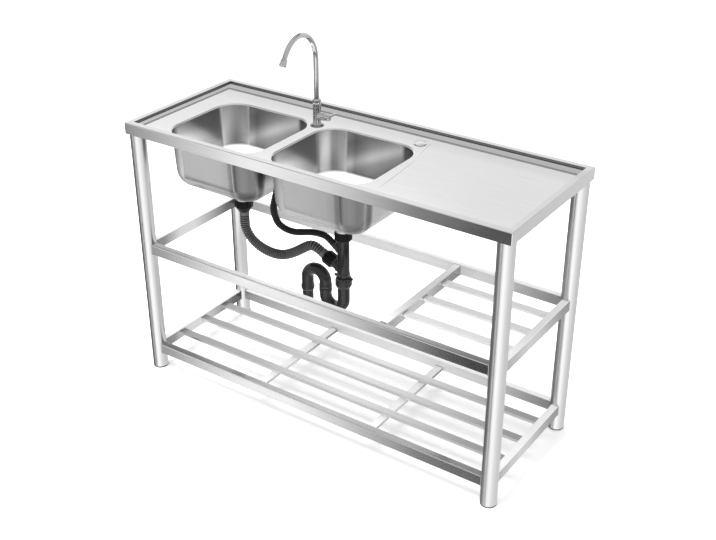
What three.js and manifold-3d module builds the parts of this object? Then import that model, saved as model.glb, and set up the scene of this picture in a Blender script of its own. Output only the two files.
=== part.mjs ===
// Stainless kitchen sink unit: a pressed top with two bowls and a drainboard on four
// round legs, a slatted half shelf, a slatted lower shelf, a swan-neck tap and its waste.
// Millimetres. +X runs to the drainboard end, +Y to the back, +Z up.
// The origin is on the floor under the middle of the top.

import * as THREE from 'three';
import { mergeVertices } from 'three/addons/utils/BufferGeometryUtils.js';
import Module from 'manifold-3d';

const wasm = await Module();
wasm.setup();

// ---------- driving dimensions ----------

const topLength = 1200;
const topDepth = 450;
const topHeight = 800;
const seatGap = 0.3; // left between pieces that touch
const weldGap = 0.3; // left where a bar end meets the bar it is welded to

const sheet = 1.2; // thickness of the pressed top
const apronHeight = 33;
const rimWidth = 18; // flat rim round the top
const rimStep = 5; // from the rim down to the ledge
const ledgeLeft = 26;
const ledgeBack = 38;
const panelStep = 2.5; // from the ledge down to the working surface

const bowlLength = 308; // along X, at the opening
const bowlCorner = 68;
const bowlDrop = 162; // from the working surface to the bowl floor
const bowlWall = 1;
const bowlFlange = 10;
const bowlDraft = 8; // how far each wall leans in from rim to floor
const bowlFillet = 52; // radius between wall and floor
const bowlGap = 38; // between the two openings
const bowlInset = 446; // from the left end of the top to the middle of the strip between the bowls
const bowlSetback = 22; // from the front of the top to the openings
const bowlRearMargin = 134; // from the openings to the rear of the top
const drainHoleFit = 1.5; // hole round the strainer's cup
const drainSeatFit = 4; // sunk seat round the strainer's flange
const drainSeatDrop = 4;

const legRadius = 22.5;
const legWall = 1.2;
const legInset = 24.5; // from the edges of the top to the leg axis
const footHeight = 4;
const plugLength = 18;
const plugFit = 0.3; // clearance of a plug or socket in the leg's bore
const socketPlate = 2;
const socketLength = 36;

const railHeight = 32;
const railWidth = 22;
const railWall = 1.5;
const railCorner = 2.5;
const midShelfTop = 426; // top of the upper frame
const lowShelfTop = 85; // top of the lower frame
const dividerOffset = 65; // from the right bowl's opening to the bar that closes the half shelf
const slatWidth = 25;
const slatHeight = 10;
const slatWall = 1;
const slatCorner = 1.5;
const slatDrop = 9; // slat top below rail top
const slatPitch = 100;
const crossBarX = 193;

const strainerFlange = 56; // radii
const strainerCup = 42.5;
const strainerThread = 21;
const strainerWall = 1.2;
const strainerLip = 2;
const cupDepth = 30; // cup below its seat in the bowl
const tailDepth = 64; // thread end below the seat
const clampNutRadius = 52;
const clampNutHeight = 10;
const clampNutFit = 0.5;
const basketFit = 2.3; // between the basket and the cup's inside
const basketWall = 1.2;
const basketHeight = 27;

const pipeRadius = 17; // waste pipe, outside
const pipeWall = 2.2;
const slipFit = 0.4; // round a pipe, thread or shank inside a nut or socket
const tailNutRadius = 24.5;
const tailNutAbove = 9.5; // above and below the end of the strainer's thread
const tailNutBelow = 16.5;
const cupNutRadius = 26.5; // left bowl's nut, which narrows to the hose
const cupNutAbove = 12.5;
const cupNutShoulderBelow = 9.5;
const cupNutBelow = 24.5;
const portClearance = 3.65; // from the tail nut down to the overflow port
const branchBelowPort = 52; // between the points where their axes meet the pipe axis
const branchSlope = 26; // degrees above level
const branchRadius = 14;
const branchLength = 46; // from the pipe axis to the hose end
const hoseNutRadius = 21;
const hoseNutStart = 33; // along the branch axis from the pipe axis
const hoseNutLength = 34;
const teeFoot = 22; // from the branch axis down to the end of the tee
const clampRingHeight = 7;
const clampRingWall = 2.1;
const earReach = 30.5; // from the pipe axis to the tip of each ear
const earWidth = 9;
const unionRadius = 23.5;
const unionHeight = 28;
const unionDrop = 2; // from the end of the tee to the union nut's top
const trapRadius = 31; // centreline of each bend of the trap
const trapDrop = 71; // from the end of the tee to the lower bend's centre
const trapRise = 38; // from there up to the upper bend's centre
const trapCollarWall = 1.6;
const trapCollarHeight = 22;
const outletRadius = 15.5;
const outletLength = 58; // below its collar

const drainHoseRadius = 14.5;
const drainHoseRib = 1.6; // height of a rib
const drainHoseWall = 1.5;
const drainHoseRibs = 62;
const overflowHoseRadius = 10;
const overflowHoseRib = 0.8;
const overflowHoseWall = 1.6;
const overflowHoseRibs = 68;

const overflowDrop = 50.5; // from the working surface
const overflowHole = 11;
const overflowPlate = 20; // on the left bowl's right-hand wall
const overflowPlateThickness = 1.5;
const slotPitch = 6;
const elbowRadius = 11.5;
const elbowWall = 2.5;
const elbowDrop = 24; // from the overflow to the elbow's lower end
const elbowOffset = 2; // from the middle of the strip between the bowls
const overflowPortRadius = 10.5;
const overflowPortLength = 36; // from the pipe axis
const portWall = 2;

const tapOffset = -4; // from the middle of the strip between the bowls
const tapForward = 18; // from the openings' rear edge
const tapBodyRadius = 11.2;
const tapFlangeRadius = 19.5;
const tapFlangeHeight = 5;
const tapBodyHeight = 67.5; // above the working surface
const tapCollarRadius = 12.2;
const tapCollarHeight = 10;
const tapHoleRadius = 12;
const tapShankRadius = 10;
const tapShankLength = 45;
const tapNutRadius = 17;
const tapNutHeight = 9;
const tapBoreRadius = 5;
const spoutRadius = 7.2;
const spoutWall = 1;
const spoutRise = 120; // from the body's top to where the arch begins
const spoutArch = 88; // radius of the arch's centreline
const spoutSweep = 147; // degrees of arch
const spoutTail = 12; // straight end that the aerator fits on
const spoutTurn = 7; // degrees that the spout is turned from straight forward
const spoutSink = 14; // how far the riser goes into the body
const aeratorRadius = 9.8;
const aeratorLength = 20;
const valveRise = 30.5; // above the working surface
const valveRadius = 11;
const valveReach = 25; // from the tap axis to the end of the valve housing
const spindleRadius = 4;
const spindleCollar = 5; // length of its wide part
const spindleLength = 14;
const hubRadius = 9;
const hubLength = 13;
const leverLength = 44;
const leverBack = 3; // behind the hub's axis
const leverThickness = 6;
const leverWidth = 11;

const coverOffset = 126; // from the right bowl's middle
const coverBehind = 31; // from the openings' rear edge
const coverRadius = 18.5;
const coverHoleRadius = 14;
const coverPlug = 8; // below the top
const coverHeight = 3;

// ---------- worked out from the driving dimensions ----------

const halfLength = topLength / 2;
const halfDepth = topDepth / 2;
const ledgeLevel = topHeight - rimStep;
const panelLevel = ledgeLevel - panelStep;
const panelUnderside = panelLevel - sheet;
const legX = halfLength - legInset;
const legY = halfDepth - legInset;
const legBore = legRadius - legWall;
const bowlTopLevel = panelUnderside - seatGap;
const bowlFloor = panelLevel - bowlDrop;
const seatFloor = bowlFloor - drainSeatDrop;
const bowlMiddle = -halfLength + bowlInset;
const bowlFront = -halfDepth + bowlSetback;
const bowlRear = halfDepth - bowlRearMargin;
const bowlDepth = bowlRear - bowlFront; // along Y, at the opening
const bowlCentreY = (bowlFront + bowlRear) / 2;
const bowlOffset = (bowlLength + bowlGap) / 2;
const leftDrainX = bowlMiddle - bowlOffset;
const rightDrainX = bowlMiddle + bowlOffset;
const drainY = bowlCentreY;
const drainHole = strainerCup + drainHoleFit;
const drainSeat = strainerFlange + drainSeatFit;
const cupInner = strainerCup - strainerWall;
const basketRadius = cupInner - basketFit;
const threadEnd = seatFloor - tailDepth;
const tailNutBottom = threadEnd - tailNutBelow;
const cupNutBottom = threadEnd - cupNutBelow;
const pipeBore = pipeRadius - pipeWall;
const pipeGrip = pipeRadius + slipFit;
const portDirection = new THREE.Vector3(-0.656, -0.264, 0.707).normalize();
const portSlope = Math.asin(portDirection.z);
const portHeight = tailNutBottom - portClearance - tailNutRadius * Math.tan(portSlope)
  - overflowPortRadius / Math.cos(portSlope);
const branchHeight = portHeight - branchBelowPort;
const teeBottom = branchHeight - teeFoot;
const unionTop = teeBottom - unionDrop;
const trapLowCentre = teeBottom - trapDrop;
const trapHighCentre = trapLowCentre + trapRise;
const midLimbX = rightDrainX - 2 * trapRadius;
const outletX = midLimbX - 2 * trapRadius;
const innerRailX = legX - railWidth / 2;
const innerRailY = legY - railWidth / 2;
const dividerX = rightDrainX + bowlLength / 2 + dividerOffset;
const overflowY = bowlFront + bowlCorner + overflowPlate; // where the flat of the wall begins
const overflowHeight = panelLevel - overflowDrop;
const elbowX = bowlMiddle + elbowOffset;
const hoseTop = overflowHeight - elbowDrop - seatGap;
const drainHoseRoot = drainHoseRadius - drainHoseRib;
const drainHoseBore = drainHoseRoot - drainHoseWall;
const overflowHoseRoot = overflowHoseRadius - overflowHoseRib;
const overflowHoseBore = overflowHoseRoot - overflowHoseWall;
const tapX = bowlMiddle + tapOffset;
const tapY = bowlRear - tapForward;
const tapSeat = panelLevel + seatGap;
const tapBodyTop = panelLevel + tapBodyHeight;
const valveHeight = panelLevel + valveRise;
const spoutSpring = tapBodyTop + spoutRise;
const coverX = rightDrainX + coverOffset;
const coverY = bowlRear + coverBehind;
const degrees = Math.PI / 180;
const up = new THREE.Vector3(0, 0, 1);

// ---------- materials ----------

const metal = (color, roughness) => new THREE.MeshStandardMaterial({ color, roughness, metalness: 1 });
const plastic = (color, roughness) => new THREE.MeshStandardMaterial({ color, roughness, metalness: 0 });
const brushed = metal(0xc9cbcd, 0.34);
const polished = metal(0xd8dadc, 0.16);
const tubeSteel = metal(0xc4c6c9, 0.22);
const tapSteel = metal(0xa9abad, 0.3);
const blackPlastic = plastic(0x1b1b1c, 0.42);
const ribbedPlastic = plastic(0x242425, 0.5);
const footPlastic = plastic(0x2a2a2b, 0.6);

// ---------- turning geometry into solids and back ----------

// Swaps two corners of each triangle where the closed surface is wound inside out.
function faceOutward(positions, index) {
  const [a, b, c] = [new THREE.Vector3(), new THREE.Vector3(), new THREE.Vector3()];
  let volume = 0;
  for (let i = 0; i < index.length; i += 3) {
    a.fromArray(positions, 3 * index[i]);
    b.fromArray(positions, 3 * index[i + 1]);
    c.fromArray(positions, 3 * index[i + 2]);
    volume += a.dot(b.cross(c));
  }
  if (volume >= 0) return index;
  return index.map((value, i) => (i % 3 === 1 ? index[i + 1] : i % 3 === 2 ? index[i - 1] : value));
}

function toSolid(geometry) {
  const bare = geometry.clone();
  bare.deleteAttribute('normal');
  bare.deleteAttribute('uv');
  const merged = mergeVertices(bare, 1e-4);
  const vertProperties = new Float32Array(merged.attributes.position.array);
  const index = Array.from(merged.index.array);
  const live = [];
  for (let i = 0; i < index.length; i += 3) {
    const [a, b, c] = index.slice(i, i + 3);
    if (a !== b && b !== c && c !== a) live.push(a, b, c);
  }
  const triVerts = new Uint32Array(faceOutward(vertProperties, live));
  return new wasm.Manifold(new wasm.Mesh({ numProp: 3, vertProperties, triVerts }));
}

function toGeometry(solid) {
  const { vertProperties, triVerts, numProp } = solid.getMesh();
  const positions = [];
  for (let i = 0; i < vertProperties.length; i += numProp) {
    positions.push(vertProperties[i], vertProperties[i + 1], vertProperties[i + 2]);
  }
  const geometry = new THREE.BufferGeometry();
  geometry.setAttribute('position', new THREE.Float32BufferAttribute(positions, 3));
  geometry.setIndex(Array.from(triVerts));
  geometry.computeVertexNormals();
  return geometry;
}

const join = (...solids) => solids.reduce((whole, next) => whole.add(next));
const cut = (base, ...tools) => tools.reduce((rest, tool) => rest.subtract(tool), base);

// ---------- shapes ----------

function block([x0, x1], [y0, y1], [z0, z1]) {
  const geometry = new THREE.BoxGeometry(x1 - x0, y1 - y0, z1 - z0);
  geometry.translate((x0 + x1) / 2, (y0 + y1) / 2, (z0 + z1) / 2);
  return toSolid(geometry);
}

// A body of revolution about Z through (x, y). The profile is a closed loop of [radius, height].
function turned(profile, x = 0, y = 0, segments = 16) {
  const points = [...profile, profile[0]].map(([r, z]) => new THREE.Vector2(r, z));
  const geometry = new THREE.LatheGeometry(points, segments);
  geometry.rotateX(Math.PI / 2);
  geometry.translate(x, y, 0);
  return toSolid(geometry);
}

const ring = (outer, inner, z0, z1) => [[inner, z0], [outer, z0], [outer, z1], [inner, z1]];
const disc = (radius, z0, z1) => [[0, z0], [radius, z0], [radius, z1], [0, z1]];

function roundedRectangle(width, height, radius) {
  const [w, h] = [width / 2, height / 2];
  const shape = new THREE.Shape();
  shape.absarc(w - radius, h - radius, radius, 0, Math.PI / 2);
  shape.absarc(-w + radius, h - radius, radius, Math.PI / 2, Math.PI);
  shape.absarc(-w + radius, -h + radius, radius, Math.PI, 1.5 * Math.PI);
  shape.absarc(w - radius, -h + radius, radius, 1.5 * Math.PI, 2 * Math.PI);
  shape.closePath();
  return shape;
}

function raised(shape, z0, z1, curveSegments = 6) {
  const geometry = new THREE.ExtrudeGeometry(shape, { depth: z1 - z0, bevelEnabled: false, curveSegments });
  geometry.translate(0, 0, z0);
  return geometry;
}

// A rectangular tube along X from x0 to x1, with its top face at the given height.
function barAlongX(x0, x1, y, top, { width, height, wall, corner, steps }) {
  const section = roundedRectangle(width, height, corner);
  section.holes.push(roundedRectangle(width - 2 * wall, height - 2 * wall, corner - wall / 2));
  const geometry = raised(section, 0, x1 - x0, steps);
  geometry.rotateX(Math.PI / 2);
  geometry.rotateZ(Math.PI / 2);
  geometry.translate(x0, y, top - height / 2);
  return toSolid(geometry);
}

function barAlongY(y0, y1, x, top, section) {
  const along = toGeometry(barAlongX(y0, y1, 0, top, section));
  along.rotateZ(Math.PI / 2);
  along.translate(x, 0, 0);
  return toSolid(along);
}

const railSection = { width: railWidth, height: railHeight, wall: railWall, corner: railCorner, steps: 2 };
const slatSection = { width: slatWidth, height: slatHeight, wall: slatWall, corner: slatCorner, steps: 1 };

// A pipe bent along a curve, with its bore open at both ends.
function bentPipe(curve, radius, bore, steps, sides = 10) {
  const section = new THREE.Shape();
  const hole = new THREE.Path();
  for (let i = 0; i < sides; i++) {
    const angle = (2 * Math.PI * i) / sides;
    section[i ? 'lineTo' : 'moveTo'](radius * Math.cos(angle), radius * Math.sin(angle));
    hole[i ? 'lineTo' : 'moveTo'](bore * Math.cos(angle), bore * Math.sin(angle));
  }
  section.closePath();
  hole.closePath();
  section.holes.push(hole);
  return toSolid(new THREE.ExtrudeGeometry(section, { steps, bevelEnabled: false, extrudePath: curve }));
}

// Closed surface through a loop of rings that all have the same number of points.
function loopOfRings(rings) {
  const count = rings[0].length;
  const positions = rings.flat().flatMap((point) => point.toArray());
  const index = [];
  rings.forEach((_, row) => {
    const next = (row + 1) % rings.length;
    for (let i = 0; i < count; i++) {
      const j = (i + 1) % count;
      const [a, b] = [row * count + i, row * count + j];
      const [c, d] = [next * count + i, next * count + j];
      index.push(a, b, d, a, d, c);
    }
  });
  const geometry = new THREE.BufferGeometry();
  geometry.setAttribute('position', new THREE.Float32BufferAttribute(positions, 3));
  geometry.setIndex(index);
  return geometry;
}

const group = new THREE.Group();

function addPiece(name, solid, material) {
  const mesh = new THREE.Mesh(solid.isBufferGeometry ? solid : toGeometry(solid), material);
  mesh.name = name;
  group.add(mesh);
  return mesh;
}

// ---------- pressed top ----------

function buildTop() {
  const rim = { left: -halfLength + rimWidth, right: halfLength - rimWidth };
  const rimY = halfDepth - rimWidth;
  const body = block([-halfLength, halfLength], [-halfDepth, halfDepth], [topHeight - apronHeight, topHeight]);
  const ledge = block([rim.left, rim.right], [-rimY, rimY], [ledgeLevel, topHeight + sheet]);
  const panelX = [rim.left + ledgeLeft, rim.right];
  const panelY = [-rimY, rimY - ledgeBack];
  const panel = block(panelX, panelY, [panelLevel, topHeight]);
  const inside = [halfLength - sheet, halfDepth - sheet];
  const below = topHeight - apronHeight - sheet;
  const hollow = block([-inside[0], inside[0]], [-inside[1], inside[1]], [below, topHeight - sheet]);
  const underLedge = block([rim.left - sheet, rim.right + sheet], [-rimY - sheet, rimY + sheet],
    [ledgeLevel - sheet, topHeight]);
  const underPanel = block([panelX[0] - sheet, panelX[1] + sheet], [panelY[0] - sheet, panelY[1] + sheet],
    [panelUnderside, ledgeLevel]);
  const openings = [leftDrainX, rightDrainX].map((x) => {
    const opening = raised(roundedRectangle(bowlLength, bowlDepth, bowlCorner), panelUnderside - sheet, topHeight);
    opening.translate(x, bowlCentreY, 0);
    return toSolid(opening);
  });
  const tapHole = turned(disc(tapHoleRadius, panelUnderside - sheet, topHeight), tapX, tapY, 16);
  const coverHole = turned(disc(coverHoleRadius, panelUnderside - sheet, topHeight), coverX, coverY, 16);
  const space = cut(hollow, underLedge, underPanel);
  addPiece('pressed_top', cut(body, ledge, panel, space, ...openings, tapHole, coverHole), brushed);
}

// ---------- bowls ----------

const cornerSteps = 4;

// Points of a rounded rectangle, starting and turning as the circle below does.
function roundedLoop(length, depth, radius, x, y, z) {
  const points = [];
  for (let corner = 0; corner < 4; corner++) {
    const signX = corner === 0 || corner === 3 ? 1 : -1;
    const signY = corner < 2 ? 1 : -1;
    for (let i = 0; i <= cornerSteps; i++) {
      const angle = (corner + i / cornerSteps) * Math.PI / 2;
      const px = signX * (length / 2 - radius) + radius * Math.cos(angle);
      const py = signY * (depth / 2 - radius) + radius * Math.sin(angle);
      points.push(new THREE.Vector3(x + px, y + py, z));
    }
  }
  return points;
}

function circleLoop(radius, x, y, z) {
  const points = [];
  const total = 4 * (cornerSteps + 1);
  for (let i = 0; i < total; i++) {
    const angle = ((i + 0.5) / total) * 2 * Math.PI;
    points.push(new THREE.Vector3(x + radius * Math.cos(angle), y + radius * Math.sin(angle), z));
  }
  return points;
}

// Rings of one skin of the bowl, from rim to floor, grown outward by the given amount.
function bowlSkin(x, grow, top) {
  const floor = bowlFloor - grow;
  const fillet = bowlFillet + grow;
  const wallLow = floor + fillet;
  const lean = bowlDraft * (bowlTopLevel - wallLow) / bowlDrop;
  const at = (inset, z) => roundedLoop(bowlLength - 2 * inset, bowlDepth - 2 * inset,
    Math.max(bowlCorner - inset, 8), x, bowlCentreY, z);
  const rings = [at(-grow, top), at(lean - grow, wallLow)];
  const filletSteps = 4;
  for (let i = 1; i <= filletSteps; i++) {
    const angle = (i / filletSteps) * Math.PI / 2;
    rings.push(at(lean - grow + fillet * (1 - Math.cos(angle)), wallLow - fillet * Math.sin(angle)));
  }
  rings.push(circleLoop(drainSeat, x, drainY, floor));
  rings.push(circleLoop(drainSeat - drainSeatDrop / 2, x, drainY, floor - drainSeatDrop));
  rings.push(circleLoop(drainHole, x, drainY, floor - drainSeatDrop));
  return rings;
}

function buildBowl(name, x, overflow) {
  const flange = (z) => roundedLoop(bowlLength + 2 * bowlFlange, bowlDepth + 2 * bowlFlange,
    bowlCorner + bowlFlange, x, bowlCentreY, z);
  const inner = bowlSkin(x, 0, bowlTopLevel);
  const outer = bowlSkin(x, bowlWall, bowlTopLevel - bowlWall);
  const rings = [flange(bowlTopLevel), ...inner, ...outer.reverse(), flange(bowlTopLevel - bowlWall)];
  let bowl = toSolid(loopOfRings(rings));
  if (overflow) bowl = cut(bowl, acrossWall(overflowHole, -6, 6));
  addPiece(name, bowl, polished);
}

// ---------- overflow, in the left bowl's right-hand wall ----------

const wallLean = bowlDraft * (bowlTopLevel - overflowHeight) / bowlDrop;
const wallX = leftDrainX + bowlLength / 2 - wallLean; // inner face at the overflow
const wallTilt = Math.atan(bowlDraft / bowlDrop);

// A cylinder through the wall, from x0 to x1 either side of its inner face.
function acrossWall(radius, x0, x1, bore = 0) {
  const profile = bore ? ring(radius, bore, x0, x1) : disc(radius, x0, x1);
  const geometry = toGeometry(turned(profile, 0, 0, 16));
  geometry.rotateY(Math.PI / 2 + wallTilt);
  geometry.translate(wallX, overflowY, overflowHeight);
  return toSolid(geometry);
}

// ---------- legs, feet and sockets ----------

const legSides = 20;
const corners = [
  ['front_left', -1, -1],
  ['front_right', 1, -1],
  ['rear_left', -1, 1],
  ['rear_right', 1, 1],
];

function buildLegs() {
  const plugRadius = legBore - plugFit;
  const socketTop = panelUnderside - seatGap;
  const plateLow = socketTop - socketPlate;
  const legTop = plateLow - seatGap;
  const legBottom = footHeight + seatGap;
  for (const [name, sideX, sideY] of corners) {
    const [x, y] = [sideX * legX, sideY * legY];
    const foot = [[0, 0], [legRadius - 1, 0], [legRadius, 1], [legRadius, footHeight], [plugRadius, footHeight],
      [plugRadius, footHeight + plugLength], [0, footHeight + plugLength]];
    const socketLow = plateLow - socketLength;
    const socket = [[0, socketLow], [plugRadius, socketLow], [plugRadius, plateLow], [legRadius, plateLow],
      [legRadius, socketTop], [0, socketTop]];
    addPiece(`foot_${name}`, turned(foot, x, y, legSides), footPlastic);
    addPiece(`leg_${name}`, turned(ring(legRadius, legBore, legBottom, legTop), x, y, legSides), tubeSteel);
    addPiece(`leg_socket_${name}`, turned(socket, x, y, legSides), footPlastic);
  }
}

// ---------- shelf frames ----------

// Rails run from leg axis to leg axis and are scooped to fit round the legs.
function buildFrame(name, top) {
  const scoop = disc(legRadius + weldGap, top - 2 * railHeight, top + railHeight);
  const scoops = corners.map(([, sideX, sideY]) =>
    turned(scoop, sideX * legX, sideY * legY, legSides));
  for (const [side, sign] of [['front', -1], ['rear', 1]]) {
    const rail = barAlongX(-legX, legX, sign * legY, top, railSection);
    addPiece(`${name}_rail_${side}`, cut(rail, ...scoops), brushed);
  }
  for (const [side, sign] of [['left', -1], ['right', 1]]) {
    const rail = barAlongY(-legY, legY, sign * legX, top, railSection);
    addPiece(`${name}_rail_${side}`, cut(rail, ...scoops), brushed);
  }
}

function buildSlats(name, x0, x1, top) {
  ['front', 'middle', 'rear'].forEach((place, i) => {
    const bar = barAlongX(x0 + weldGap, x1 - weldGap, (i - 1) * slatPitch, top, slatSection);
    addPiece(`${name}_slat_${place}`, bar, brushed);
  });
}

function buildShelves() {
  const barEnd = innerRailY - weldGap;
  buildFrame('upper', midShelfTop);
  addPiece('upper_divider_rail', barAlongY(-barEnd, barEnd, dividerX, midShelfTop, railSection), brushed);
  buildSlats('upper', dividerX + railWidth / 2, innerRailX, midShelfTop - slatDrop);
  buildFrame('lower', lowShelfTop);
  buildSlats('lower', -innerRailX, innerRailX, lowShelfTop - slatDrop);
  const crossTop = lowShelfTop - slatDrop - slatHeight - weldGap;
  addPiece('lower_cross_bar_left', barAlongY(-barEnd, barEnd, -crossBarX, crossTop, slatSection), brushed);
  addPiece('lower_cross_bar_right', barAlongY(-barEnd, barEnd, crossBarX, crossTop, slatSection), brushed);
}

// ---------- strainers ----------

const nutSides = 20; // shared by every thread and the nut on it

function buildStrainer(side, x) {
  const seat = seatFloor + seatGap;
  const threadInner = strainerThread - strainerWall;
  const cupFloor = seat - cupDepth;
  const body = [
    [threadInner, threadEnd], [strainerThread, threadEnd], [strainerThread, cupFloor - 6],
    [strainerCup - 4, cupFloor], [strainerCup, cupFloor + 4], [strainerCup, seat], [strainerFlange, seat],
    [strainerFlange - 1, seat + strainerLip], [cupInner, seat + strainerLip - 0.5], [cupInner, cupFloor + 4.5],
    [cupInner - 4, cupFloor + strainerWall], [threadInner, cupFloor - 5],
  ];
  addPiece(`${side}_strainer_body`, turned(body, x, drainY, nutSides), polished);

  const underSeat = seatFloor - bowlWall - seatGap;
  const nut = ring(clampNutRadius, strainerCup + clampNutFit, underSeat - clampNutHeight, underSeat);
  addPiece(`${side}_clamp_nut`, turned(nut, x, drainY, nutSides), blackPlastic);

  const low = cupFloor + 0.05 + seatGap;
  const inner = basketRadius - basketWall;
  const basket = [
    [0, low], [basketRadius - 5, low], [basketRadius, low + 8], [basketRadius, low + basketHeight],
    [inner, low + basketHeight], [inner, low + 8], [basketRadius - 5, low + basketWall],
    [6, low + basketWall], [4, low + basketHeight - 4], [5, low + basketHeight], [0, low + basketHeight + 1],
  ];
  addPiece(`${side}_strainer_basket`, turned(basket, x, drainY), polished);
}

function buildNuts() {
  const threadFit = strainerThread + slipFit;
  const tailNutTop = threadEnd + tailNutAbove;
  const rightNut = [
    [pipeGrip, tailNutBottom], [tailNutRadius - 1.5, tailNutBottom], [tailNutRadius, tailNutBottom + 3],
    [tailNutRadius, tailNutTop], [threadFit, tailNutTop], [threadFit, threadEnd - 3], [pipeGrip, threadEnd - 3],
  ];
  addPiece('right_tail_nut', turned(rightNut, rightDrainX, drainY, nutSides), blackPlastic);
  const shoulder = threadEnd - cupNutShoulderBelow;
  const cupNutTop = threadEnd + cupNutAbove;
  const leftNut = [
    [drainHoseBore - 1, cupNutBottom], [drainHoseRadius + 1, cupNutBottom], [cupNutRadius, shoulder],
    [cupNutRadius, cupNutTop], [threadFit, cupNutTop], [threadFit, threadEnd - 1], [drainHoseBore - 1, threadEnd - 1],
  ];
  addPiece('left_tail_nut', turned(leftNut, leftDrainX, drainY, nutSides), blackPlastic);
}

// ---------- waste pipe with its two inlets ----------

const branchAngle = branchSlope * degrees;
const branchDirection = new THREE.Vector3(-Math.cos(branchAngle), 0, Math.sin(branchAngle));
const branchRoot = new THREE.Vector3(rightDrainX, drainY, branchHeight);
const alongBranch = (s) => branchRoot.clone().addScaledVector(branchDirection, s);

// A body of revolution about any axis, its heights measured from the given point.
function turnedAbout(profile, origin, direction, segments = 16) {
  const geometry = toGeometry(turned(profile, 0, 0, segments));
  geometry.applyQuaternion(new THREE.Quaternion().setFromUnitVectors(up, direction));
  geometry.translate(...origin.toArray());
  return toSolid(geometry);
}

const portRoot = new THREE.Vector3(rightDrainX, drainY, portHeight);
const alongPort = (s) => portRoot.clone().addScaledVector(portDirection, s);

function buildTee() {
  const pipeTop = threadEnd - seatGap;
  const pipe = turned(disc(pipeRadius, teeBottom, pipeTop), rightDrainX, drainY);
  const pipeHole = turned(disc(pipeBore, teeBottom - branchRadius, pipeTop + 1), rightDrainX, drainY);
  const branch = turnedAbout(disc(branchRadius, 0, branchLength), branchRoot, branchDirection);
  const branchBore = disc(branchRadius - portWall, 0, branchLength + 1);
  const branchHole = turnedAbout(branchBore, branchRoot, branchDirection);
  const port = turnedAbout(disc(overflowPortRadius, 0, overflowPortLength), portRoot, portDirection);
  const portBore = disc(overflowPortRadius - portWall, 0, overflowPortLength + 1);
  const portHole = turnedAbout(portBore, portRoot, portDirection);
  addPiece('waste_tee', cut(join(pipe, branch, port), pipeHole, branchHole, portHole), blackPlastic);

  const grip = branchRadius + slipFit;
  const face = branchLength + seatGap;
  const nutEnd = hoseNutStart + hoseNutLength;
  const nut = [
    [grip, hoseNutStart], [hoseNutRadius - 2, hoseNutStart], [hoseNutRadius, hoseNutStart + 3],
    [hoseNutRadius, nutEnd - 3], [hoseNutRadius - 2.5, nutEnd], [drainHoseBore - 1, nutEnd],
    [drainHoseBore - 1, face], [grip, face],
  ];
  addPiece('hose_nut', turnedAbout(nut, branchRoot, branchDirection), blackPlastic);
}

// ---------- trap ----------

function arc(cx, cz, radius, from, to) {
  const sweep = (to - from) * degrees;
  return Object.assign(new THREE.Curve(), {
    getPoint(t) {
      const angle = from * degrees + t * sweep;
      return new THREE.Vector3(cx + radius * Math.cos(angle), drainY, cz + radius * Math.sin(angle));
    },
  });
}

function straight(from, to) {
  return new THREE.LineCurve3(from, to);
}

// Points along a straight, a half turn and another straight, joined as one smooth path.
function bendPath(centreX, centreZ, above, firstZ, lastZ) {
  const path = new THREE.CurvePath();
  const [right, left] = [centreX + trapRadius, centreX - trapRadius];
  const at = (x, z) => new THREE.Vector3(x, drainY, z);
  path.add(straight(at(right, firstZ), at(right, centreZ)));
  path.add(arc(centreX, centreZ, trapRadius, 0, above ? 180 : -180));
  path.add(straight(at(left, centreZ), at(left, lastZ)));
  return path;
}

function buildTrap() {
  const ringTop = unionTop + seatGap + clampRingHeight;
  const ringLow = unionTop + seatGap;
  const collar = turned(ring(pipeGrip + clampRingWall, pipeGrip, ringLow, ringTop), rightDrainX, drainY);
  const earX = [rightDrainX - earReach, rightDrainX + earReach];
  const ears = block(earX, [drainY - earWidth / 2, drainY + earWidth / 2], [ringLow, ringTop - 2]);
  const bore = turned(disc(pipeGrip, unionTop - 1, ringTop + 1), rightDrainX, drainY);
  addPiece('trap_clamp_ring', cut(join(collar, ears), bore), blackPlastic);

  const unionBottom = unionTop - unionHeight;
  const union = [
    [pipeGrip, unionBottom], [unionRadius - 3, unionBottom], [unionRadius, unionBottom + 5],
    [unionRadius, unionTop], [pipeGrip, unionTop],
  ];
  addPiece('trap_union_nut', turned(union, rightDrainX, drainY), blackPlastic);

  const lowTop = teeBottom - seatGap;
  const joint = trapHighCentre - trapRadius / 2;
  const lower = bendPath((rightDrainX + midLimbX) / 2, trapLowCentre, false, lowTop, joint);
  const upper = bendPath((midLimbX + outletX) / 2, trapHighCentre, true, joint + seatGap, joint - trapCollarHeight);
  addPiece('trap_lower_bend', bentPipe(lower, pipeRadius, pipeBore, 11), blackPlastic);
  addPiece('trap_upper_bend', bentPipe(upper, pipeRadius, pipeBore, 11), blackPlastic);

  const outletTop = joint - trapCollarHeight / 2;
  const socketLow = joint - trapCollarHeight - seatGap;
  const outletBottom = socketLow - outletLength;
  const collarRadius = pipeGrip + trapCollarWall;
  const outlet = [
    [outletRadius - pipeWall, outletBottom], [outletRadius, outletBottom], [outletRadius, socketLow - 3],
    [collarRadius, socketLow - 1], [collarRadius, outletTop], [pipeGrip, outletTop],
    [pipeGrip, socketLow], [outletRadius - pipeWall, socketLow],
  ];
  addPiece('trap_outlet', turned(outlet, outletX, drainY), blackPlastic);
}

// ---------- hoses ----------

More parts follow.
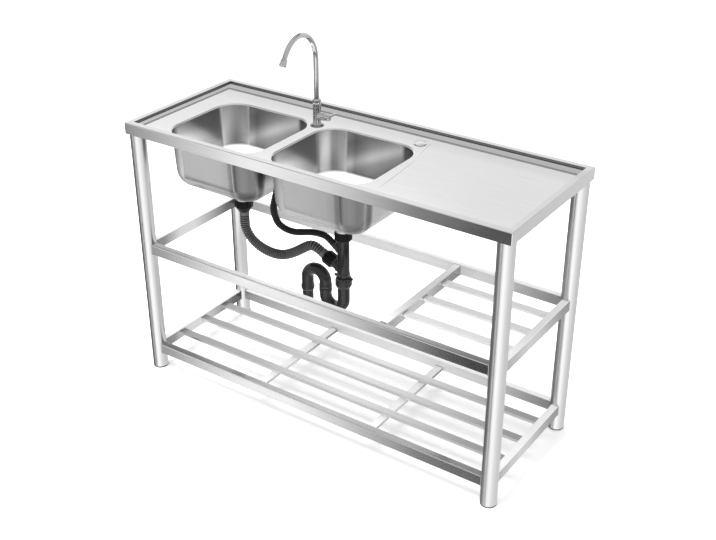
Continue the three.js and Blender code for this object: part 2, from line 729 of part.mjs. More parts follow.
// A smooth route through hand-placed points, sampled evenly with a frame at every sample.
function routeFrames(points, samples) {
  const curve = new THREE.CatmullRomCurve3(points, false, 'centripetal');
  curve.arcLengthDivisions = 400;
  const frames = [];
  let side = null;
  for (let i = 0; i <= samples; i++) {
    const centre = curve.getPointAt(i / samples);
    const along = curve.getTangentAt(i / samples);
    if (!side) side = new THREE.Vector3(0, 1, 0).cross(along).normalize();
    side.addScaledVector(along, -side.dot(along)).normalize();
    frames.push({ centre, along, side: side.clone(), over: along.clone().cross(side) });
  }
  return frames;
}

function ringAt({ centre, side, over }, radius) {
  const points = [];
  for (let i = 0; i < 8; i++) {
    const angle = (i / 8) * 2 * Math.PI;
    points.push(centre.clone().addScaledVector(side, radius * Math.cos(angle))
      .addScaledVector(over, radius * Math.sin(angle)));
  }
  return points;
}

// Two rings to a rib, one on its crest and one in the groove, and a bore ring every five ribs.
function ribbedHose(points, ribs, crest, root, bore) {
  const frames = routeFrames(points, 2 * ribs);
  const outside = frames.map((frame, i) => ringAt(frame, i % 2 ? crest : root));
  const inside = frames.filter((_, i) => i % 10 === 0 || i === 2 * ribs).map((frame) => ringAt(frame, bore));
  return loopOfRings([...outside, ...inside.reverse()]);
}

const point = (x, y, z) => new THREE.Vector3(x, y, z);

// Across and down from where the drain hose leaves the left bowl's nut.
const belowNut = (across, down) => point(leftDrainX + across, drainY, cupNutBottom - down);

const drainHoseRoute = [
  belowNut(0, seatGap),
  belowNut(0, 15),
  belowNut(0, 29.5),
  belowNut(1, 46),
  belowNut(9, 66),
  belowNut(24, 83),
  belowNut(46, 96.5),
  belowNut(75, 105),
  belowNut(106, 107),
  belowNut(137, 101.5),
  belowNut(166, 88),
  belowNut(190, 72.5),
  belowNut(209, 59),
  belowNut(224.5, 48.2),
  belowNut(234, 43.4),
  belowNut(244.5, 41.4),
  alongBranch(hoseNutStart + hoseNutLength + 30),
  alongBranch(hoseNutStart + hoseNutLength + 15),
  alongBranch(hoseNutStart + hoseNutLength + seatGap),
];

// Across, back and down from where the overflow hose leaves its elbow.
const belowElbow = (across, back, down) => point(elbowX + across, overflowY + back, hoseTop - down);

const overflowRoute = [
  belowElbow(0, 0, 0),
  belowElbow(0, 0, 10),
  belowElbow(0, 0, 21),
  belowElbow(0, -6, 45),
  belowElbow(0, -16, 66),
  belowElbow(0, -23, 89.7),
  belowElbow(2.5, -21.7, 113.7),
  belowElbow(10, -17.8, 135.7),
  belowElbow(26, -9.3, 151.7),
  belowElbow(48, 2, 160.2),
  belowElbow(70, 14, 160.2),
  belowElbow(90, 24.5, 159.2),
  belowElbow(108, 33.2, 161.7),
  belowElbow(121.5, 39.1, 165.5),
  alongPort(overflowPortLength + 22),
  alongPort(overflowPortLength + 11),
  alongPort(overflowPortLength + seatGap),
];

function buildHoses() {
  const drain = ribbedHose(drainHoseRoute, drainHoseRibs, drainHoseRadius, drainHoseRoot, drainHoseBore);
  addPiece('drain_hose', drain, ribbedPlastic);
  const overflow = ribbedHose(overflowRoute, overflowHoseRibs, overflowHoseRadius, overflowHoseRoot,
    overflowHoseBore);
  addPiece('overflow_hose', overflow, ribbedPlastic);
}

function buildOverflow() {
  const front = -seatGap - overflowPlateThickness;
  const plate = join(acrossWall(overflowPlate, front, -seatGap), acrossWall(overflowHole - 1, front, bowlWall));
  const slots = [-slotPitch, 0, slotPitch].map((offset) => {
    const slot = new THREE.BoxGeometry(12, 2.5, 13);
    slot.translate(wallX, overflowY + offset, overflowHeight);
    return toSolid(slot);
  });
  addPiece('overflow_grate', cut(plate, ...slots), polished);

  const face = bowlWall + seatGap;
  const flange = acrossWall(elbowRadius + 3, face, face + 2.5, elbowRadius - elbowWall);
  const start = point(wallX + face + 2, overflowY, overflowHeight);
  const bend = new THREE.QuadraticBezierCurve3(start, point(elbowX, overflowY, overflowHeight + 2),
    point(elbowX, overflowY, overflowHeight - elbowDrop));
  addPiece('overflow_elbow', join(flange, bentPipe(bend, elbowRadius, elbowRadius - elbowWall, 6)), blackPlastic);
}

// ---------- tap ----------

const spoutForward = new THREE.Vector3(Math.sin(spoutTurn * degrees), -Math.cos(spoutTurn * degrees), 0);

function spoutPath() {
  const foot = point(tapX, tapY, tapBodyTop - spoutSink);
  const spring = point(tapX, tapY, spoutSpring);
  const path = new THREE.CurvePath();
  path.add(straight(foot, spring));
  const arch = Object.assign(new THREE.Curve(), {
    getPoint(t) {
      const angle = t * spoutSweep * degrees;
      return spring.clone().addScaledVector(spoutForward, spoutArch * (1 - Math.cos(angle)))
        .addScaledVector(up, spoutArch * Math.sin(angle));
    },
  });
  path.add(arch);
  const archEnd = arch.getPoint(1);
  const sweep = spoutSweep * degrees;
  const onward = spoutForward.clone().multiplyScalar(Math.sin(sweep)).addScaledVector(up, Math.cos(sweep));
  path.add(straight(archEnd, archEnd.clone().addScaledVector(onward, spoutTail)));
  return path;
}

function buildTap() {
  const bodyLow = tapSeat + tapFlangeHeight + seatGap;
  const shankGrip = tapShankRadius + slipFit;
  const flange = [
    [shankGrip, tapSeat], [tapFlangeRadius, tapSeat], [tapFlangeRadius, tapSeat + 1.5],
    [tapBodyRadius + 2, tapSeat + tapFlangeHeight], [shankGrip, tapSeat + tapFlangeHeight],
  ];
  addPiece('tap_flange', turned(flange, tapX, tapY, 20), tapSteel);

  const shankLow = panelLevel - tapShankLength;
  const wellRadius = spoutRadius + slipFit;
  const wellFloor = tapBodyTop - spoutSink - seatGap;
  const column = turned([
    [tapBoreRadius, shankLow], [tapShankRadius, shankLow], [tapShankRadius, bodyLow], [tapBodyRadius, bodyLow],
    [tapBodyRadius, tapBodyTop], [wellRadius, tapBodyTop], [wellRadius, wellFloor], [tapBoreRadius, wellFloor],
  ], tapX, tapY);
  const valveRoot = point(tapX, tapY, valveHeight);
  const toRight = new THREE.Vector3(1, 0, 0);
  const housing = turnedAbout(disc(valveRadius, tapBoreRadius + 1, valveReach), valveRoot, toRight);
  addPiece('tap_body', join(column, housing), tapSteel);

  const collarEnd = valveReach + spindleCollar;
  const spindleEnd = valveReach + spindleLength;
  const spindle = [
    [0, valveReach + seatGap], [valveRadius - 2, valveReach + seatGap], [valveRadius - 2, collarEnd - 1],
    [spindleRadius, collarEnd], [spindleRadius, spindleEnd], [0, spindleEnd],
  ];
  addPiece('valve_spindle', turnedAbout(spindle, valveRoot, toRight), tapSteel);

  const hubStart = collarEnd + seatGap;
  const hubEnd = hubStart + hubLength;
  const hub = turnedAbout(disc(hubRadius, hubStart, hubEnd), valveRoot, toRight);
  const hubBore = disc(spindleRadius + seatGap, hubStart - 1, spindleEnd + seatGap);
  const hubHole = turnedAbout(hubBore, valveRoot, toRight);
  const lever = raised(roundedRectangle(leverWidth, leverLength, leverWidth / 2 - 0.1), -leverThickness / 2,
    leverThickness / 2, 4);
  lever.translate(tapX + (hubStart + hubEnd) / 2, tapY + leverLength / 2 - leverBack, valveHeight);
  addPiece('tap_lever', cut(join(hub, toSolid(lever)), hubHole), tapSteel);

  const collarLow = tapBodyTop + seatGap;
  const collar = ring(tapCollarRadius, wellRadius, collarLow, collarLow + tapCollarHeight);
  addPiece('spout_collar', turned(collar, tapX, tapY), tapSteel);

  const path = spoutPath();
  addPiece('spout', bentPipe(path, spoutRadius, spoutRadius - spoutWall, 22), tapSteel);

  const tip = path.getPoint(1);
  const out = path.getTangent(1);
  const mouth = aeratorLength - spoutTail;
  const aerator = [
    [wellRadius, -spoutTail], [aeratorRadius, -spoutTail], [aeratorRadius, mouth - 2], [aeratorRadius - 1, mouth],
    [spoutRadius - 2, mouth], [spoutRadius - 2, seatGap], [wellRadius, seatGap],
  ];
  addPiece('aerator', turnedAbout(aerator, tip, out), tapSteel);

  const nutTop = panelUnderside - seatGap;
  const hexagon = turned(disc(tapNutRadius, nutTop - tapNutHeight, nutTop), tapX, tapY, 6);
  const nutBore = turned(disc(shankGrip, nutTop - tapNutHeight - 1, nutTop + 1), tapX, tapY);
  addPiece('tap_shank_nut', cut(hexagon, nutBore), tapSteel);
}

function buildCover() {
  const seat = panelLevel + seatGap;
  const neck = coverHoleRadius - 0.5;
  const plugLow = panelUnderside - coverPlug;
  const cover = [
    [0, plugLow], [neck - 0.5, plugLow], [neck, plugLow + 4], [neck, seat], [coverRadius, seat],
    [coverRadius - 0.5, seat + coverHeight - 1], [coverRadius - 3, seat + coverHeight], [0, seat + coverHeight],
  ];
  addPiece('hole_cover', turned(cover, coverX, coverY, 20), polished);
}

buildTop();
buildBowl('left_bowl', leftDrainX, true);
buildBowl('right_bowl', rightDrainX, false);
buildLegs();
buildShelves();
buildStrainer('left', leftDrainX);
buildStrainer('right', rightDrainX);
buildNuts();
buildTee();
buildTrap();
buildOverflow();
buildHoses();
buildTap();
buildCover();

export default group;
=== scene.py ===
from math import atan2, cos, pi, radians, sin, sqrt

import bmesh
import bpy
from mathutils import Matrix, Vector
from mathutils.geometry import delaunay_2d_cdt


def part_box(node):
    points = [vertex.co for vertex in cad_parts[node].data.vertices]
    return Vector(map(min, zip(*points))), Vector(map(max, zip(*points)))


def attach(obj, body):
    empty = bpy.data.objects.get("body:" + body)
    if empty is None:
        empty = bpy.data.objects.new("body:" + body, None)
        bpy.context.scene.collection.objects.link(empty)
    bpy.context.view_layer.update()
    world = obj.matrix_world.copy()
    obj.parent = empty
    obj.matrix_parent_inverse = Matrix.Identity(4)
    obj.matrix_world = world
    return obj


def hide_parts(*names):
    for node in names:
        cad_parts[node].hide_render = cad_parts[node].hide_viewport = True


# Stainless sink unit, in metres: +X to the drainboard end, +Y to the back, +Z up.

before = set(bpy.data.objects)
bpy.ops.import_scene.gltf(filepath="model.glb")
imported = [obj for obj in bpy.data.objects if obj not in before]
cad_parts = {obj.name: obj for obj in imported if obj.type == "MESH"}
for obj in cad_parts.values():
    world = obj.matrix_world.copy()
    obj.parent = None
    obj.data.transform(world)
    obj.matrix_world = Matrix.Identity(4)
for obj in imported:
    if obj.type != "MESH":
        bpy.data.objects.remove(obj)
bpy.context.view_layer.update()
scene = bpy.context.scene
print("frame loaded:", len(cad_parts), "nodes")

bothSides = ("left", "right")
mm = 0.001
seatGap = 0.0003 # between pieces that sit on each other


def boxCentre(node):
    low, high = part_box(node)
    return (low + high) / 2


# a node's size in millimetres
def boxSpan(node):
    low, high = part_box(node)
    return (high - low) / mm


def heights(node):
    low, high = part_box(node)
    return low.z, high.z


# camera and light

camera = dict(place=(1.563292, -2.238659, 1.91521), tiltDown=0.501, turn=0.601, lens=55.888, filmWidth=36.0)


def addCamera():
    data = bpy.data.cameras.new("photoCamera")
    data.lens, data.sensor_width, data.clip_end = camera["lens"], camera["filmWidth"], 100
    view = bpy.data.objects.new("photoCamera", data)
    view.location = camera["place"]
    view.rotation_euler = (pi / 2 - camera["tiltDown"], 0, camera["turn"])
    scene.collection.objects.link(view)
    scene.camera = view


studio = dict(
    # brightness of level and downward reflections, by compass angle in degrees from the front towards +X
    around=[(-180, 1.0), (-110, 0.1), (-90, 0.05), (-72, 0.16), (-56, 0.14), (-48, 0.12), (-46, 0.36), (-44, 0.85),
            (-41.5, 1.8), (-39, 1.85), (-37, 1.35), (-34.5, 0.8), (-32, 0.36), (-29.5, 0.1), (-27, 0.01),
            (-20, 0.02), (-15, 0.9), (-7, 1.45), (17, 1.8), (41, 1.58), (64, 1.22), (90, 1.05), (122, 0.85),
            (135, 1.05), (141, 1.05), (145, 0.66), (153, 0.84), (160, 0.94), (180, 0.9)],
    # 20 to 27 degrees up, where the top's flat surfaces look
    above=[(-180, 1.3), (-110, 1.22), (-70, 1.05), (-34, 1.05), (10, 0.9), (60, 0.9), (100, 0.95), (145, 1.05),
           (165, 1.15), (180, 1.3)],
    # 26 to 30 degrees up, where the upper rails' top faces look
    aloft=[(-180, 0.6), (-161, 1.05), (-155, 1.0), (-152.5, 0.68), (-150, 1.0), (-147, 1.25), (-144, 1.4),
           (-141, 1.25), (-138, 1.0), (-135, 0.8), (-128, 0.6), (-110, 0.6), (-34, 0.6), (60, 0.8), (145, 0.6),
           (180, 0.6)],
    # 32 to 45 degrees up, where the lower bars' top faces look
    lofty=[(-180, 0.3), (-158, 0.28), (-153, 0.36), (-151, 0.52), (-149, 0.74), (-147, 0.9), (-145, 0.98),
           (-143, 0.84), (-141, 0.66), (-139, 0.48), (-137, 0.32), (-135, 0.22), (-128, 0.16), (-110, 0.4),
           (-34, 0.6), (60, 0.8), (145, 0.6), (180, 0.3)],
    zenith=0.95,
    nadir=1.15, # the pale floor, seen from above
    # each band takes over from the one before as the direction's height goes from the first number to the second
    climbs=[("nadir", -0.64, -0.74), ("above", -0.3, -0.16), ("aloft", 0.445, 0.465), ("lofty", 0.5, 0.535),
            ("zenith", 0.68, 0.86)],
    diffuse=1.0, # what matt surfaces get from the room, besides the key
    backdrop=1.0, # what the camera sees past the floor
    keyPower=200, keySize=2.4, keyPlace=(-0.6, -0.4, 3.2), keyAim=(0, 0, 0.5),
    floor={"Base Color": (0.93, 0.93, 0.93, 1), "Emission Color": (1, 1, 1, 1), "Emission Strength": 0.2,
           "Roughness": 0.9, "Specular IOR Level": 0.1},
    floorReach=30,
)


def addNode(tree, kind, inputs=None, **settings):
    node = tree.nodes.new(kind if kind.startswith("Node") else "ShaderNode" + kind)
    for key, value in settings.items():
        setattr(node, key, value)
    for key, value in (inputs or {}).items():
        if isinstance(value, bpy.types.NodeSocket):
            tree.links.new(value, node.inputs[key])
        else:
            node.inputs[key].default_value = value
    return node.outputs


def doMath(tree, operation, *values):
    return addNode(tree, "Math", dict(enumerate(values)), operation=operation)[0]


def fade(tree, value, start, end, low=0.0, high=1.0):
    return addNode(tree, "MapRange", {0: value, 1: start, 2: end, 3: low, 4: high})[0]


def mixed(tree, mask, off, on):
    return addNode(tree, "Mix", {0: mask, 2: off, 3: on})[0]


def mixedColour(tree, mask, off, on):
    return addNode(tree, "Mix", {0: mask, 6: off, 7: on}, data_type="RGBA")[2]


def addRamp(tree, value, stops):
    shade = addNode(tree, "ValToRGB", {0: value})[0]
    elements = shade.node.color_ramp.elements
    elements.remove(elements[-1])
    for i, (place, tone) in enumerate(stops):
        element = elements.new(place) if i else elements[0]
        element.position = place
        element.color = (*tone, 1) if isinstance(tone, tuple) else (tone, tone, tone, 1)
    return shade


# value of a table of (place, tone) at a number that the shader works out
def lookUp(tree, value, stops):
    low, high, top = stops[0][0], stops[-1][0], max(tone for _, tone in stops)
    even = [((at - low) / (high - low), tone / top) for at, tone in stops]
    ramp = addRamp(tree, fade(tree, value, low, high), even)
    return doMath(tree, "MULTIPLY", ramp, top)


def startMaterial(name, values):
    material = bpy.data.materials.new(name)
    material.use_nodes = True
    shader = material.node_tree.nodes["Principled BSDF"].inputs
    for socket, value in values.items():
        shader[socket].default_value = value
    return material, material.node_tree, shader


def addStudio():
    world = bpy.data.worlds.new("studioWorld")
    scene.world = world
    world.use_nodes = True
    tree = world.node_tree
    tree.nodes.clear()
    parts = addNode(tree, "SeparateXYZ", {0: addNode(tree, "TexCoord")["Generated"]})
    compass = doMath(tree, "ARCTAN2", parts["X"], doMath(tree, "MULTIPLY", parts["Y"], -1.0))

    def band(name):
        level = studio[name]
        if isinstance(level, list):
            return lookUp(tree, compass, [(radians(angle), value) for angle, value in level])
        return (level, level, level, 1)

    seen = band("around")
    for name, start, end in studio["climbs"]:
        seen = mixedColour(tree, fade(tree, parts["Z"], start, end), seen, band(name))
    ray = addNode(tree, "LightPath")
    seen = mixedColour(tree, ray["Is Diffuse Ray"], seen, band("diffuse"))
    seen = mixedColour(tree, ray["Is Camera Ray"], seen, band("backdrop"))
    shade = addNode(tree, "Background", {0: seen, 1: 1.0})[0]
    addNode(tree, "OutputWorld", {0: shade}, is_active_output=True)

    key = bpy.data.lights.new("softKey", "AREA")
    key.energy, key.size = studio["keyPower"], studio["keySize"]
    lamp = bpy.data.objects.new("softKey", key)
    lamp.location = studio["keyPlace"]
    lamp.rotation_euler = (Vector(studio["keyAim"]) - lamp.location).to_track_quat("-Z", "Y").to_euler()
    lamp.visible_glossy = False
    scene.collection.objects.link(lamp)

    mesh = bpy.data.meshes.new("floor")
    reach = studio["floorReach"]
    corners = [(x * reach, y * reach, 0) for x, y in ((-1, -1), (1, -1), (1, 1), (-1, 1))]
    mesh.from_pydata(corners, [], [(0, 1, 2, 3)])
    mesh.materials.append(startMaterial("paleFloor", studio["floor"])[0])
    floor = bpy.data.objects.new("floor", mesh)
    floor.visible_glossy = False
    scene.collection.objects.link(floor)
    scene.view_settings.view_transform = "Standard"


addCamera()
addStudio()
print("camera and studio done")


# shader node groups shared by the materials

def startGroup(name, inputs):
    group = bpy.data.node_groups.new(name, "ShaderNodeTree")
    for label, value in inputs.items():
        kind = "NodeSocketVector" if isinstance(value, tuple) else "NodeSocketFloat"
        group.interface.new_socket(name=label, in_out="INPUT", socket_type=kind).default_value = value
    return group, addNode(group, "NodeGroupInput")


def endGroup(group, **results):
    for label in results:
        kind = "NodeSocketVector" if label == "Normal" else "NodeSocketFloat"
        group.interface.new_socket(name=label, in_out="OUTPUT", socket_type=kind)
    ends = group.nodes.new("NodeGroupOutput").inputs
    for label, socket in results.items():
        group.links.new(socket, ends[label])
    return group


# where a point of the surface is, and which way it faces
def placeAndFacing(tree):
    coordinates = addNode(tree, "TexCoord")
    return [addNode(tree, "SeparateXYZ", {0: coordinates[name]}) for name in ("Object", "Normal")]


def makeBrushGroup():
    group, given = startGroup("brushLines", {"Stretch": (2, 90, 90), "Bump": 0.1})
    place = addNode(group, "TexCoord")["Object"]
    drawn = addNode(group, "Mapping", {"Vector": place, "Scale": given["Stretch"]})[0]
    streak = addNode(group, "TexNoise", {"Vector": drawn, "Scale": 1.0, "Detail": 7.0, "Roughness": 0.72})[0]
    cloud = addNode(group, "TexNoise", {"Vector": place, "Scale": 5.0, "Detail": 3.0})[0]
    bump = addNode(group, "Bump", {"Height": streak, "Strength": given["Bump"], "Distance": 0.0006})[0]
    return endGroup(group, Streak=streak, Cloud=cloud, Normal=bump)


def makeMouldGroup():
    group, given = startGroup("mouldedSkin", {"Bump": 0.1})
    place = addNode(group, "TexCoord")["Object"]
    grain = addNode(group, "TexNoise", {"Vector": place, "Scale": 900.0, "Detail": 4.0})[0]
    dust = addNode(group, "TexNoise", {"Vector": place, "Scale": 26.0, "Detail": 6.0, "Roughness": 0.65})[0]
    bump = addNode(group, "Bump", {"Height": grain, "Strength": given["Bump"], "Distance": 0.0004})[0]
    return endGroup(group, Dust=dust, Normal=bump)


# inside the rim, the pressed steps and the ledge between them, told by height, are painted darker than the flats:
# painted shade.
# Faces there that lean to the back and left get a painted highlight, and the flat deck a painted reflection, lighter
# at the front and darker near the back
topPaintedShade = dict(
    levels=[(0.79, 1.0), (0.7927, 1.0), (0.7934, 0.4), (0.7946, 0.4), (0.7952, 0.7), (0.7954, 0.24), (0.799, 0.15),
            (0.7998, 0.9)],
    inner=dict(X=0.5965, Y=0.2215), turnedAway=1.55,
    deck=[(-0.21, 1.13), (-0.12, 1.05), (0, 1.0), (0.1, 0.97), (0.14, 0.87), (0.18, 0.86), (0.2, 1.0)],
)


def makeTopShadeGroup():
    group, _ = startGroup("topPaintedShade", {})
    place, facing = placeAndFacing(group)
    within = [doMath(group, "LESS_THAN", doMath(group, "ABSOLUTE", place[axis]), half)
              for axis, half in topPaintedShade["inner"].items()]
    # painted highlight where a face leans to the back and left, painted shade on the steps by height, only inside
    # the rim
    lean = doMath(group, "SUBTRACT", facing["Y"], facing["X"])
    step = mixed(group, fade(group, lean, 0.02, 0.1, 1.0, 0.0), topPaintedShade["turnedAway"],
                 lookUp(group, place["Z"], topPaintedShade["levels"]))
    step = mixed(group, doMath(group, "MULTIPLY", *within), 1.0, step)
    # painted reflection on the flat deck, by how far back it is
    flat = fade(group, facing["Z"], 0.9, 0.98)
    deck = mixed(group, flat, 1.0, lookUp(group, place["Y"], topPaintedShade["deck"]))
    return endGroup(group, Tone=doMath(group, "MULTIPLY", step, deck))


# painted light and shade on a bowl's sheet. Outside, painted reflections by the angle that it faces, from the front
# round to the right.
# Inside, the left and rear walls have a slanting painted light patch each, and the corners painted reflections by
# the angle from left to rear
bowlPaintedShade = dict(
    outside=[(-3.14, 0.8), (-1.57, 0.4), (-1.3, 0.2), (-1.05, 0.34), (-0.7, 0.28), (-0.5, 0.33), (-0.3, 0.48),
             (-0.15, 0.61), (-0.04, 0.67), (-0.012, 0.8), (0, 1.0), (0.03, 0.76), (0.06, 0.58), (0.12, 0.52),
             (0.17, 0.43), (0.22, 0.35), (0.3, 0.27), (0.35, 0.25), (0.78, 0.24), (1.0, 0.32), (1.1, 0.55),
             (1.2, 0.34), (1.33, 0.28), (1.45, 0.55), (1.53, 0.86), (3.14, 0.8)],
    matt=[(-3.14, 0), (-1.5, 0), (-1.25, 0.6), (-1.0, 1), (-0.04, 1), (-0.012, 0), (3.14, 0)],
    front=[(-0.16, 1.08), (-0.05, 1.0), (0, 0.95), (0.05, 0.88), (0.07, 0.78), (0.08, 0.46), (0.16, 0.42)],
    leftSlope=1.35, leftLevel=0.745,
    left=[(-0.09, 0.68), (-0.05, 0.68), (-0.03, 0.63), (-0.01, 0.58), (0.005, 0.52), (0.015, 0.39), (0.03, 0.24),
          (0.05, 0.195), (0.09, 0.195)],
    rearSlope=-0.45, rearLevel=0.742,
    rear=[(-0.06, 0.15), (-0.037, 0.24), (-0.027, 0.32), (-0.017, 0.48), (-0.008, 0.62), (0.003, 0.6),
          (0.013, 0.51), (0.023, 0.43), (0.033, 0.42), (0.05, 0.41), (0.07, 0.55)],
    rearAlong=[(-0.085, 0.97), (-0.075, 0.9), (-0.06, 0.6), (-0.04, 0.73), (-0.02, 0.93), (0, 1.0), (0.08, 1.0)],
    leftHeight=[(0.695, 0.3), (0.71, 0.5), (0.73, 0.9), (0.742, 1.0), (0.755, 0.9), (0.765, 0.75), (0.775, 0.72),
                (0.785, 0.7)],
    corner=dict(
        left=[(-3.14, 0.5), (-1.6, 0.5), (-1.2, 0.06), (-0.5, 0.06), (-0.15, 0.3), (0.12, 0.24), (0.2, 0.5),
              (0.27, 0.9), (0.36, 0.62), (0.5, 0.47), (0.7, 0.37), (0.9, 0.32), (1.1, 0.37), (1.3, 0.56),
              (1.42, 0.74), (1.48, 1.0), (1.54, 1.0), (1.62, 0.3), (1.8, 0.11), (2.6, 0.1), (3.0, 0.4),
              (3.14, 0.5)],
        right=[(-3.14, 0.5), (-1.6, 0.5), (-1.2, 0.06), (-0.5, 0.06), (-0.15, 0.3), (0.12, 0.44), (0.22, 0.4),
               (0.33, 0.66), (0.42, 0.7), (0.72, 0.66), (0.8, 0.5), (0.9, 0.34), (1.1, 0.38), (1.3, 0.62),
               (1.42, 0.9), (1.48, 1.1), (1.54, 1.0), (1.62, 0.3), (1.8, 0.11), (2.6, 0.1), (3.0, 0.4),
               (3.14, 0.5)],
    ),
    cornerHeight=[(0.69, 0.5), (0.71, 0.6), (0.74, 0.8), (0.77, 1.0), (0.79, 1.0)],
    cornerMask=[(-3.14, 1), (-0.5, 1), (-0.08, 0), (0.1, 0), (0.16, 1), (1.545, 1), (1.568, 0), (1.6, 0), (1.75, 1),
                (3.14, 1)],
    floorTone=1.05,
    # painted tone underneath, darker on the left bowl: painted shade; and a painted tone on each bowl's front
    under=dict(left=0.6, right=1.05),
    frontLevel=dict(left=1.1, right=0.8),
)
drainY = boxCentre("left_strainer_body").y


def makeBowlOutsideGroup():
    group, given = startGroup("bowlOutsidePaintedTones", {"Middle": 0.0, "Under": 1.0, "Front": 1.0})
    place, facing = placeAndFacing(group)
    angle = doMath(group, "ARCTAN2", facing["X"], doMath(group, "MULTIPLY", facing["Y"], -1.0))
    turn = doMath(group, "ABSOLUTE", angle)
    # painted reflections: a tone by the angle faced, along the front by place, each bowl's front tone, and its tone
    # underneath
    along = lookUp(group, doMath(group, "SUBTRACT", place["X"], given["Middle"]), bowlPaintedShade["front"])
    tone = lookUp(group, angle, bowlPaintedShade["outside"])
    for mask, value in [(doMath(group, "LESS_THAN", turn, 0.03), along),
                        (fade(group, turn, 0.03, 0.3, 1.0, 0.0), given["Front"]),
                        (fade(group, facing["Z"], -0.1, -0.45), given["Under"])]:
        tone = doMath(group, "MULTIPLY", tone, mixed(group, mask, 1.0, value))
    return endGroup(group, Tone=tone, Floor=lookUp(group, angle, bowlPaintedShade["matt"]))


def makeBowlInsideGroup(side):
    group, given = startGroup(f"{side}BowlInsidePaintedTones", {"Middle": 0.0})
    place, facing = placeAndFacing(group)
    find = lambda value, name: lookUp(group, value, bowlPaintedShade[name])
    above = lambda level: doMath(group, "SUBTRACT", place["Z"], bowlPaintedShade[level])
    across = doMath(group, "SUBTRACT", place["X"], given["Middle"])
    # left wall: a slanting painted light patch that falls off to painted shadow, strongest at its middle height
    slant = doMath(group, "MULTIPLY_ADD", above("leftLevel"), bowlPaintedShade["leftSlope"],
                   doMath(group, "SUBTRACT", place["Y"], drainY))
    shadow = bowlPaintedShade["left"][-1][1]
    left = doMath(group, "SUBTRACT", find(slant, "left"), shadow)
    left = doMath(group, "MULTIPLY_ADD", left, find(place["Z"], "leftHeight"), shadow)
    # rear wall: a slanting painted light patch, by place along the wall
    climb = doMath(group, "MULTIPLY_ADD", across, bowlPaintedShade["rearSlope"], above("rearLevel"))
    rear = doMath(group, "MULTIPLY", find(climb, "rear"), find(across, "rearAlong"))
    angle = doMath(group, "ARCTAN2", doMath(group, "MULTIPLY", facing["Y"], -1.0), facing["X"])
    # corners: painted reflections by the angle from left to rear, darker low down
    corner = lookUp(group, angle, bowlPaintedShade["corner"][side])
    corner = doMath(group, "MULTIPLY", corner, find(place["Z"], "cornerHeight"))
    wall = mixed(group, fade(group, angle, 0.7, 0.9), left, rear)
    tone = mixed(group, find(angle, "cornerMask"), wall, corner)
    # the floor: an even, slightly lighter painted tone
    floor = fade(group, facing["Z"], 0.17, 0.31)
    return endGroup(group, Tone=mixed(group, floor, tone, bowlPaintedShade["floorTone"]), Floor=floor)


# painted reflection along a bar: its axis, whether it is for the flat faces, the flat faces' painted tone where it
# isn't, (place, tone)
barPaintedTones = dict(
    across=("Y", False, 1.3, [(-0.2, 0.62), (-0.144, 0.8), (-0.056, 1.0), (0, 0.92), (0.064, 0.66), (0.136, 0.44),
                              (0.2, 0.36)]),
    atLeft=("Y", False, 1.08, [(-0.2, 0.28), (-0.144, 0.42), (-0.08, 0.98), (-0.02, 1.02), (0.064, 0.6),
                               (0.136, 0.22), (0.2, 0.14)]),
    rear=("X", False, 1.15, [(-0.56, 0.42), (-0.336, 0.75), (-0.112, 1.05), (0.09, 1.12), (0.3, 1.0), (0.4, 0.72),
                             (0.48, 0.48), (0.56, 0.32)]),
    front=("X", True, 1.0, [(-0.53, 0.67), (-0.43, 0.76), (-0.34, 1.15), (-0.24, 1.27), (-0.14, 1.45),
                            (-0.05, 1.33), (0.05, 1.25), (0.14, 1.03), (0.24, 0.91), (0.34, 0.92), (0.43, 0.8),
                            (0.53, 0.68)]),
    slat=("X", True, 1.0, [(-0.55, 0.68), (-0.45, 0.72), (-0.3, 0.83), (-0.1, 1.08), (0.05, 1.22), (0.3, 0.95),
                           (0.45, 0.66), (0.55, 0.6)]),
)


def makeBarShadeGroup(name):
    axis, upward, flatTone, stops = barPaintedTones[name]
    group, _ = startGroup(name + "BarPaintedTones", {})
    place, facing = placeAndFacing(group)
    # painted reflection along the bar; where it is on the side faces, the up faces get an even, lighter painted tone
    # instead
    tone = lookUp(group, place[axis], stops)
    flat = fade(group, facing["Z"], 0.45, 0.85)
    tone = mixed(group, flat, 1.0, tone) if upward else mixed(group, flat, tone, flatTone)
    return endGroup(group, Tone=tone, Floor=flat)


brushGroup = makeBrushGroup()
mouldGroup = makeMouldGroup()
topShade = makeTopShadeGroup()
bowlOutsideShade = makeBowlOutsideGroup()
barShades = {name: makeBarShadeGroup(name) for name in barPaintedTones}


def finishMaterial(tree, shader, base, rough, normal):
    for label, socket in [("Base Color", base), ("Roughness", rough), ("Normal", normal)]:
        tree.links.new(socket, shader[label])


# tone is (dark, light) of the base colour, rough is (low, high), stretch draws the brush lines out, floor is
# (rough, metallic) where the shade's Floor mask is on, and given sets the shade's own inputs
def steelMaterial(name, tone, rough, stretch, bump=0.05, metallic=1.0, shade=None, floor=None, given=None):
    material, tree, shader = startMaterial(name, {"Metallic": metallic})
    brush = addNode(tree, "Group", {"Stretch": stretch, "Bump": bump}, node_tree=brushGroup)
    blend = mixed(tree, 0.35, brush["Streak"], brush["Cloud"])
    base = addRamp(tree, blend, [(0.32, tone[0]), (0.68, tone[1])])
    rough = fade(tree, brush["Cloud"], 0.3, 0.7, *rough)
    # shade is a group of painted light and shade: its Tone scales the base colour
    if shade:
        darker = addNode(tree, "Group", given, node_tree=shade)
        base = addNode(tree, "VectorMath", {0: base, "Scale": darker["Tone"]}, operation="SCALE")[0]
    if floor:
        rough = mixed(tree, darker["Floor"], rough, floor[0])
        tree.links.new(mixed(tree, darker["Floor"], metallic, floor[1]), shader["Metallic"])
    finishMaterial(tree, shader, base, rough, brush["Normal"])
    return material


